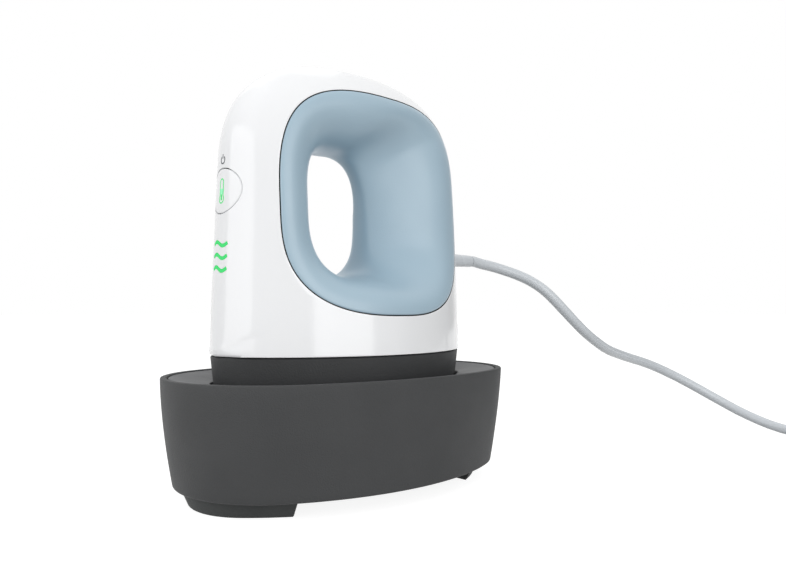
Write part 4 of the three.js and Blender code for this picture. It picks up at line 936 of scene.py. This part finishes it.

# Painted shade: a black strip in the joint round each opening, a hair below
# the surface, that stands in for the gap's shadow and shows as a fine dark line.
GAP_SHADE_SINK = 0.08
GAP_SHADE_DEPTH = 0.9
GAP_SHADE_WIDTH = 0.29
# Near-black finish for the strip: painted shade, not a real part.
gap_shade_black = moulded(
    "painted_gap_shade", "#0F1011", "#0D0E0F", 0.85, 0.75, 0.5, 0.1, IOR=1.5, Specular_IOR_Level=0.2
)
gap_shade_section = ((0, GAP_SHADE_SINK), (-GAP_SHADE_WIDTH, GAP_SHADE_SINK), (-GAP_SHADE_WIDTH, GAP_SHADE_DEPTH), (0, GAP_SHADE_DEPTH))
for side, word in SIDES:
    gap_shade_rows = [opening_row(side, inset, sink) for inset, sink in gap_shade_section]
    fit(skin(f"opening_gap_shade_{word}", gap_shade_rows, ring=True), gap_shade_black, "press", None)

# Heat skirt: a dark collar of heat-resistant resin under the shell, that
# carries the hot plate and goes down into the cradle.
OUTLINE_TIP_STEPS = 14
OUTLINE_SIDE_STEPS = 22
SKIRT_TOP = SHELL_BOTTOM - 0.3
SKIRT_BOTTOM = 26.75
SKIRT_FLOOR = 2
SKIRT_LIP = 6.1
SKIRT_WINDOW = (34.8, 17.9, 9)


def lozenge(a, b, r, z):
    """Rounded outline of two side arcs and two tip arcs, at a height."""
    side = (b * b + (a - r) ** 2 - r * r) / (2 * (b - r))
    turn = atan2(side - b, a - r)
    quarter = []
    for i in range(OUTLINE_TIP_STEPS):
        angle = turn * i / OUTLINE_TIP_STEPS
        quarter.append((a - r + r * cos(angle), r * sin(angle)))
    for i in range(OUTLINE_SIDE_STEPS + 1):
        angle = turn + (pi / 2 - turn) * i / OUTLINE_SIDE_STEPS
        quarter.append((side * cos(angle), b - side + side * sin(angle)))
    back = quarter[:0:-1]
    ahead = quarter[:-1]
    places = ahead + [(-x, y) for x, y in back]
    places += [(-x, -y) for x, y in places]
    return [Vector((x, y, z)) for x, y in places]


def shell_inset(inset, z):
    return lozenge(SHELL_HALF_LENGTH - inset, SHELL_HALF_WIDTH - inset, SHELL_TIP_RADIUS - inset, z)


# Distance in from the shell's outline, and height.
SKIRT_PROFILE = [
    (2.9, SKIRT_BOTTOM),
    (2.3, SKIRT_BOTTOM + 0.6),
    (0.5, SKIRT_TOP - 0.8),
    (0.44, SKIRT_TOP - 0.3),
    (0.75, SKIRT_TOP),
    (2.5, SKIRT_TOP),
    (2.75, SKIRT_TOP + SKIRT_LIP),
    (4.5, SKIRT_TOP + SKIRT_LIP),
    (4.5, SKIRT_TOP),
    (4.4, SKIRT_BOTTOM + SKIRT_FLOOR),
]
skirt_rows = [shell_inset(inset, z) for inset, z in SKIRT_PROFILE]
skirt_rows += [lozenge(*SKIRT_WINDOW, z) for z in (SKIRT_BOTTOM + SKIRT_FLOOR, SKIRT_BOTTOM)]
# Glass-filled polyester: dull black-grey, with the faint speckle of its filler.
dark_resin = moulded(
    "dark_resin", "#363738", "#323334", 0.6, 0.52, 0.5, 0.2, IOR=1.55, Specular_IOR_Level=0.3
)
fit(skin("skirt_collar", skirt_rows, ring=True), dark_resin, "press", "dark_resin", "heat_skirt")

# Cradle: a deep tub with drafted walls, and a separate dish in it whose
# well holds the skirt. The gap between them shows as a fine dark line.
FOOT_HEIGHT = 5.2
CRADLE_HEIGHT = 33.25
RIM = FOOT_HEIGHT + CRADLE_HEIGHT
CRADLE_HALF_LENGTH = 61.9
CRADLE_HALF_WIDTH = 39.9
CRADLE_TIP_RADIUS = 35.3
CRADLE_WALL = 2
CRADLE_END_TAPER = 3.9
CRADLE_END_TAPER_POWER = 1.7
CRADLE_SIDE_TAPER = 2.3
CRADLE_TIP_SHARPENING = 4.3
CRADLE_FLOOR_TOP = 8.2
CRADLE_EDGE_RADIUS = 0.8
TUB_EDGE_STEPS = 6
TUB_SIDE_STEPS = 14
TUB_SIDE_TOP = RIM - 0.6
# Depth below the tub's top, and distance in from its side.
TUB_RIM = [
    (0.3, 0.05),
    (0.08, 0.2),
    (0, 0.5),
    (0, CRADLE_WALL - 0.35),
    (0.1, CRADLE_WALL - 0.1),
    (0.4, CRADLE_WALL),
]


def cradle_outline(z, inset):
    """The tub's outline at a height, moved inwards."""
    share = min(max((RIM - z) / CRADLE_HEIGHT, 0), 1)
    return lozenge(
        CRADLE_HALF_LENGTH - CRADLE_END_TAPER * share**CRADLE_END_TAPER_POWER - inset,
        CRADLE_HALF_WIDTH - CRADLE_SIDE_TAPER * share - inset,
        CRADLE_TIP_RADIUS - CRADLE_TIP_SHARPENING * share - inset,
        z,
    )


tub_rows = []
for i in range(TUB_EDGE_STEPS + 1):
    turn = pi / 2 * i / TUB_EDGE_STEPS
    rise = CRADLE_EDGE_RADIUS * (1 - cos(turn))
    tub_rows.append(cradle_outline(FOOT_HEIGHT + rise, CRADLE_EDGE_RADIUS * (1 - sin(turn))))
side_bottom = FOOT_HEIGHT + CRADLE_EDGE_RADIUS
for i in range(1, TUB_SIDE_STEPS + 1):
    tub_rows.append(cradle_outline(side_bottom + (TUB_SIDE_TOP - side_bottom) * i / TUB_SIDE_STEPS, 0))
tub_rows += [cradle_outline(RIM - depth, inset) for depth, inset in TUB_RIM]
tub_rows.append(cradle_outline(CRADLE_FLOOR_TOP, CRADLE_WALL))
# Textured ABS: a fine spark-eroded grain, about half a millimetre, that kills the shine.
cradle_texture = moulded(
    "cradle_texture", "#3F4041", "#3C3D3E", 0.66, 0.6, 0.45, 0.3, IOR=1.54, Specular_IOR_Level=0.3
)
fit(skin("cradle_tub", tub_rows), cradle_texture, "cradle", "cradle_plastic", "cradle_shell")

# Dish: a separate moulding inside the tub, that slopes down to the well.
WELL_CLEARANCE = 0.9
WELL_INSET = 0.4
SKIRT_TAPER = 0.1
WELL_FLOOR = 17.95
DISH_WALL = 1.8
DISH_GROOVE = CRADLE_WALL + 0.4
DISH_LIP = RIM - 0.3
DISH_LOW = RIM - 2.1
# Depth below the dish's lip, and distance in from the groove.
DISH_EDGE = [(0.3, 0), (0.08, 0.1), (0, 0.3), (0.06, 0.8)]
# Depth below the dish's low edge or height over the well's floor, and distance out from the well.
WELL_EDGE = [(-0.05, 0.8), (0, 0.4), (0.15, 0.1), (0.5, 0)]
WELL_FOOT = [(0.8, 0), (0.2, -0.4), (0, -1.2)]


def well_outline(z, grow):
    """The well follows the skirt's taper at a running clearance."""
    return shell_inset(WELL_INSET + SKIRT_TAPER * (SKIRT_TOP - z) - WELL_CLEARANCE - grow, z)


dish_rows = [
    well_outline(WELL_FLOOR - DISH_WALL, DISH_WALL),
    well_outline(DISH_LOW - DISH_WALL, DISH_WALL),
    cradle_outline(DISH_LIP - DISH_WALL, DISH_GROOVE),
]
dish_rows += [cradle_outline(DISH_LIP - depth, DISH_GROOVE + inset) for depth, inset in DISH_EDGE]
dish_rows += [well_outline(DISH_LOW - depth, grow) for depth, grow in WELL_EDGE]
dish_rows += [well_outline(WELL_FLOOR + rise, grow) for rise, grow in WELL_FOOT]
# The same ABS in a smoother finish; its colour, a shade lighter than the tub's, is a painted reflection of
# the light the dish catches.
dish_texture = moulded(
    "dish_texture", "#47494B", "#434548", 0.5, 0.42, 0.4, 0.15, IOR=1.54, Specular_IOR_Level=0.3
)
fit(skin("cradle_dish", dish_rows), dish_texture, "cradle", "cradle_plastic", "cradle_liner")

# Feet: a low elastomer block under each end, with slanted sides.
FOOT_INSET = 1.8
FOOT_DRAFT = 2.3
FOOT_SIDE_INSET = 0.7
FOOT_TIP_SHARPENING = 6.8
FOOT_END = 35
FOOT_EDGE = 0.4
FOOT_EDGE_HEIGHT = 0.5
FOOT_LEVELS = (FOOT_HEIGHT - 0.3, 4, 2.8, 1.6, FOOT_EDGE_HEIGHT, 0.15, 0)
# Thermoplastic elastomer: matte. The real feet are in the tub's own grey; this grey is a little lighter,
# painted light that lifts the shade under the tub.
foot_rubber = moulded(
    "foot_rubber", "#484A4A", "#444646", 0.8, 0.72, 0.6, 0.25, IOR=1.5, Specular_IOR_Level=0.3
)


def foot(name, side, node):
    """The end of a lozenge slab, cut off square across and drafted."""
    rows = []
    for z in FOOT_LEVELS:
        edge = FOOT_EDGE * max(0, 1 - z / FOOT_EDGE_HEIGHT) ** 2
        drawn_in = FOOT_INSET + FOOT_DRAFT * (FOOT_HEIGHT - z) / FOOT_HEIGHT + edge
        rows.append(
            lozenge(
                CRADLE_HALF_LENGTH - CRADLE_END_TAPER - drawn_in,
                CRADLE_HALF_WIDTH - CRADLE_SIDE_TAPER - FOOT_SIDE_INSET - drawn_in,
                CRADLE_TIP_RADIUS - CRADLE_TIP_SHARPENING - FOOT_TIP_SHARPENING - drawn_in,
                z,
            )
        )
    block = skin(name, rows)
    bm = bmesh.new()
    bm.from_mesh(block.data)
    cut_at = side * FOOT_END * MM
    made = bmesh.ops.bisect_plane(
        bm,
        geom=bm.verts[:] + bm.edges[:] + bm.faces[:],
        plane_co=(cut_at, 0, 0),
        plane_no=(-side, 0, 0),
        clear_outer=True,
    )
    edges = [e for e in made["geom_cut"] if isinstance(e, bmesh.types.BMEdge)]
    bmesh.ops.contextual_create(bm, geom=edges)
    bmesh.ops.recalc_face_normals(bm, faces=bm.faces)
    bm.to_mesh(block.data)
    bm.free()
    block.data.set_sharp_from_angle(angle=radians(SHARP_ANGLE))
    return fit(block, foot_rubber, "cradle", "foot_rubber", node)


foot("foot_block_front", -1, "cradle_foot_front")
foot("foot_block_rear", 1, "cradle_foot_rear")

# Lead sleeve: a soft vinyl strain relief, moulded round the lead, that
# tapers away from its collar at the shell. Each row is a place along the
# lead's axis, and the radius there.
SLEEVE_PROFILE = [
    (31.8, 2.1),
    (41.2, 2.1),
    (41.2, 4.6),
    (43.2, 4.6),
    (43.2, 2.7),
    (46.2, 2.7),
    (46.4, 3),
    (46.8, 3.1),
    (47.6, 3.1),
    (48, 2.9),
    (49, 2.7),
    (52, 2.5),
    (56, 2.35),
    (60.6, 2.25),
    (61.3, 2.2),
    (61.48, 2.13),
]
sleeve_rows = [round_section(x, radius) for x, radius in SLEEVE_PROFILE]
fit(skin("lead_sleeve", sleeve_rows), lead_vinyl, "press", "lead_vinyl", "strain_relief")

# Pieces inside the press and under the cradle keep the model's own shape.
# Each has the finish of the real one.
wool = moulded("mineral_wool", "#D8D4C6", "#C4BFAF", 0.95, 0.9, 1.5, 0.8, 4, IOR=1.45)
nylon = moulded("frame_nylon", "#D5D0C0", "#CBC6B5", 0.55, 0.48, 0.8, 0.15, IOR=1.53)
solder_mask = moulded("solder_mask", "#1E6B3C", "#185A32", 0.4, 0.32, 1.5, 0.05, 3, IOR=1.55)
black_housing = moulded("black_housing", "#232323", "#1C1C1C", 0.6, 0.5, 0.4, 0.2, IOR=1.55)
glazed = moulded("glazed_ceramic", "#E9E3D4", "#E2DBC9", 0.25, 0.18, 2.0, 0.03, IOR=1.6)
silicone = moulded("grey_silicone", "#7B7F83", "#73777B", 0.75, 0.68, 0.5, 0.1, IOR=1.41)

# Zinc-plated steel: cool and bright, with faint turning marks.
MARKS_PER_METRE = 900
zinc, tree, made = surface("zinc_plate", Metallic=1.0)
place = add(tree, "TexCoord").outputs["Object"]
flow = add(tree, "TexNoise", {"Vector": place, "Scale": MARKS_PER_METRE, "Detail": 3.0}).outputs["Fac"]
tone = add(tree, "MixRGB", {"Fac": flow, "Color1": linear("#B4B7BA"), "Color2": linear("#C6C9CB")})
tree.links.new(tone.outputs["Color"], made.inputs["Base Color"])
gloss = add(tree, "MapRange", {"Value": flow, "To Min": 0.25, "To Max": 0.45})
tree.links.new(gloss.outputs["Result"], made.inputs["Roughness"])

# Non-stick coat on die-cast aluminium: dark grey, satin, with a mineral fleck.
FLECKS_PER_METRE = 1200
FLECK_REACH = 0.35
plate_coat, tree, made = surface("plate_coat", Metallic=0.35, Roughness=0.42)
place = add(tree, "TexCoord").outputs["Object"]
fleck = add(tree, "TexVoronoi", {"Vector": place, "Scale": FLECKS_PER_METRE}).outputs["Distance"]
spots = add(tree, "MapRange", {"Value": fleck, "From Max": FLECK_REACH, "To Min": 1.0, "To Max": 0.0}).outputs
fleck_colours = {"Color1": linear("#6E7174"), "Color2": linear("#9A9DA0")}
tone = add(tree, "MixRGB", {"Fac": spots["Result"], **fleck_colours})
tree.links.new(tone.outputs["Color"], made.inputs["Base Color"])

CORNERS = 4
INSIDE = [
    (plate_coat, ["heat_plate"]),
    (zinc, ["heating_element", "heat_shield", "cord_clamp_screw_left", "cord_clamp_screw_right"]),
    (glazed, ["thermal_fuse", "thermistor"]),
    (wool, ["insulation_pad", "cradle_insulation"]),
    (nylon, ["inner_frame", "cord_clamp"]),
    (black_housing, ["tact_switch", "relay", "transformer", "control_chip", "capacitor"]),
    (solder_mask, ["button_board", "control_board"]),
    (light_green, [f"light_diode_{setting}" for setting in LIGHT_CENTRES]),
]
for i in range(1, CORNERS + 1):
    INSIDE += [
        (glazed, [f"plate_standoff_{i}"]),
        (zinc, [f"frame_screw_{i}", f"cradle_screw_{i}"]),
        (silicone, [f"rest_pad_{i}"]),
    ]
for material, names in INSIDE:
    for name in names:
        nodes[name].data.materials.clear()
        nodes[name].data.materials.append(material)

# Studio: a white sweep that fades into the background, large soft lights in
# front of the press and over the button's side, and a weak one behind. A dark
# card to the right of the press keeps that side's tone down.
FLOOR_HALF_SIZE = 6000
FLOOR_GREY = 0.35
FLOOR_SEEN = 0.88
DOME_LOW = 0.52
DOME_HIGH = 0.86
CARD_HEADING = (0.97, -0.22, 0.0)
CARD_OUTER = 0.72
CARD_INNER = 0.92
CARD_LIGHT = 0.12
CARD_MIRRORED = 0.3
LIT_POINT = (0, 0, 0.08)
# Name, place, size, and power in watts.
SOFTBOXES = [
    ("key_light", (-0.02, -0.8, 0.24), (0.6, 0.6), 2.6),
    ("side_light", (-0.76, 0.02, 0.2), (0.9, 0.7), 2.8),
    ("top_light", (0.1, 0.35, 0.7), (0.5, 0.5), 0.3),
]
floor_mesh = bmesh.new()
bmesh.ops.create_grid(floor_mesh, x_segments=1, y_segments=1, size=FLOOR_HALF_SIZE)
studio_floor = as_piece("studio_floor", floor_mesh)

sweep = bpy.data.materials.new("white_sweep")
sweep.use_nodes = True
tree = sweep.node_tree
tree.nodes.clear()
rays = add(tree, "LightPath").outputs
mirrored = add(tree, "Math", {0: rays["Is Glossy Ray"], 1: rays["Is Transmission Ray"]}, operation="ADD")
either = {0: rays["Is Camera Ray"], 1: mirrored.outputs["Value"]}
seen = add(tree, "Math", either, operation="ADD", use_clamp=True)
matte = add(tree, "BsdfDiffuse", {"Color": (FLOOR_GREY, FLOOR_GREY, FLOOR_GREY, 1)})
shown = add(tree, "Math", {0: seen.outputs["Value"], 1: FLOOR_SEEN}, operation="MULTIPLY")
glow = add(tree, "Emission", {"Color": (1, 1, 1, 1), "Strength": shown.outputs["Value"]})
lit = add(tree, "AddShader", {0: matte.outputs["BSDF"], 1: glow.outputs["Emission"]})
add(tree, "OutputMaterial", {"Surface": lit.outputs["Shader"]})
studio_floor.data.materials.append(sweep)

world = bpy.data.worlds.new("studio_world")
bpy.context.scene.world = world
world.use_nodes = True
tree = world.node_tree
tree.nodes.clear()
rays = add(tree, "LightPath").outputs
heading = add(tree, "TexCoord").outputs["Generated"]
height = add(tree, "SeparateXYZ", {"Vector": heading}).outputs["Z"]
dome_limits = {"From Min": -0.2, "From Max": 0.9, "To Min": DOME_LOW, "To Max": DOME_HIGH}
dome = add(tree, "MapRange", {"Value": height, **dome_limits}).outputs["Result"]
facing = add(tree, "VectorMath", {0: heading, 1: CARD_HEADING}, operation="DOT_PRODUCT").outputs["Value"]
card = add(
    tree,
    "MapRange",
    {"Value": facing, "From Min": CARD_OUTER, "From Max": CARD_INNER},
    interpolation_type="SMOOTHSTEP",
).outputs["Result"]
shaded = add(tree, "MapRange", {"Value": card, "To Min": dome, "To Max": CARD_LIGHT}).outputs["Result"]
mirror = add(tree, "MapRange", {"Value": card, "To Min": 1.0, "To Max": CARD_MIRRORED}).outputs["Result"]
reflected = add(
    tree, "Math", {0: rays["Is Glossy Ray"], 1: rays["Is Transmission Ray"]}, operation="MAXIMUM"
).outputs["Value"]
air = add(tree, "MapRange", {"Value": reflected, "To Min": shaded, "To Max": mirror}).outputs["Result"]
shown = add(tree, "MapRange", {"Value": rays["Is Camera Ray"], "To Min": air, "To Max": 1.0})
background = add(tree, "Background", {"Color": (1, 1, 1, 1), "Strength": shown.outputs["Result"]})
add(tree, "OutputWorld", {"Surface": background.outputs["Background"]})

for name, place, size, watts in SOFTBOXES:
    lamp = bpy.data.lights.new(name, "AREA")
    lamp.shape = "RECTANGLE"
    lamp.size, lamp.size_y = size
    lamp.energy = watts
    holder = placed(name, lamp)
    holder.location = place
    holder.rotation_mode = "QUATERNION"
    holder.rotation_quaternion = (Vector(place) - Vector(LIT_POINT)).to_track_quat("Z", "Y")

bpy.context.scene.view_settings.view_transform = "Standard"
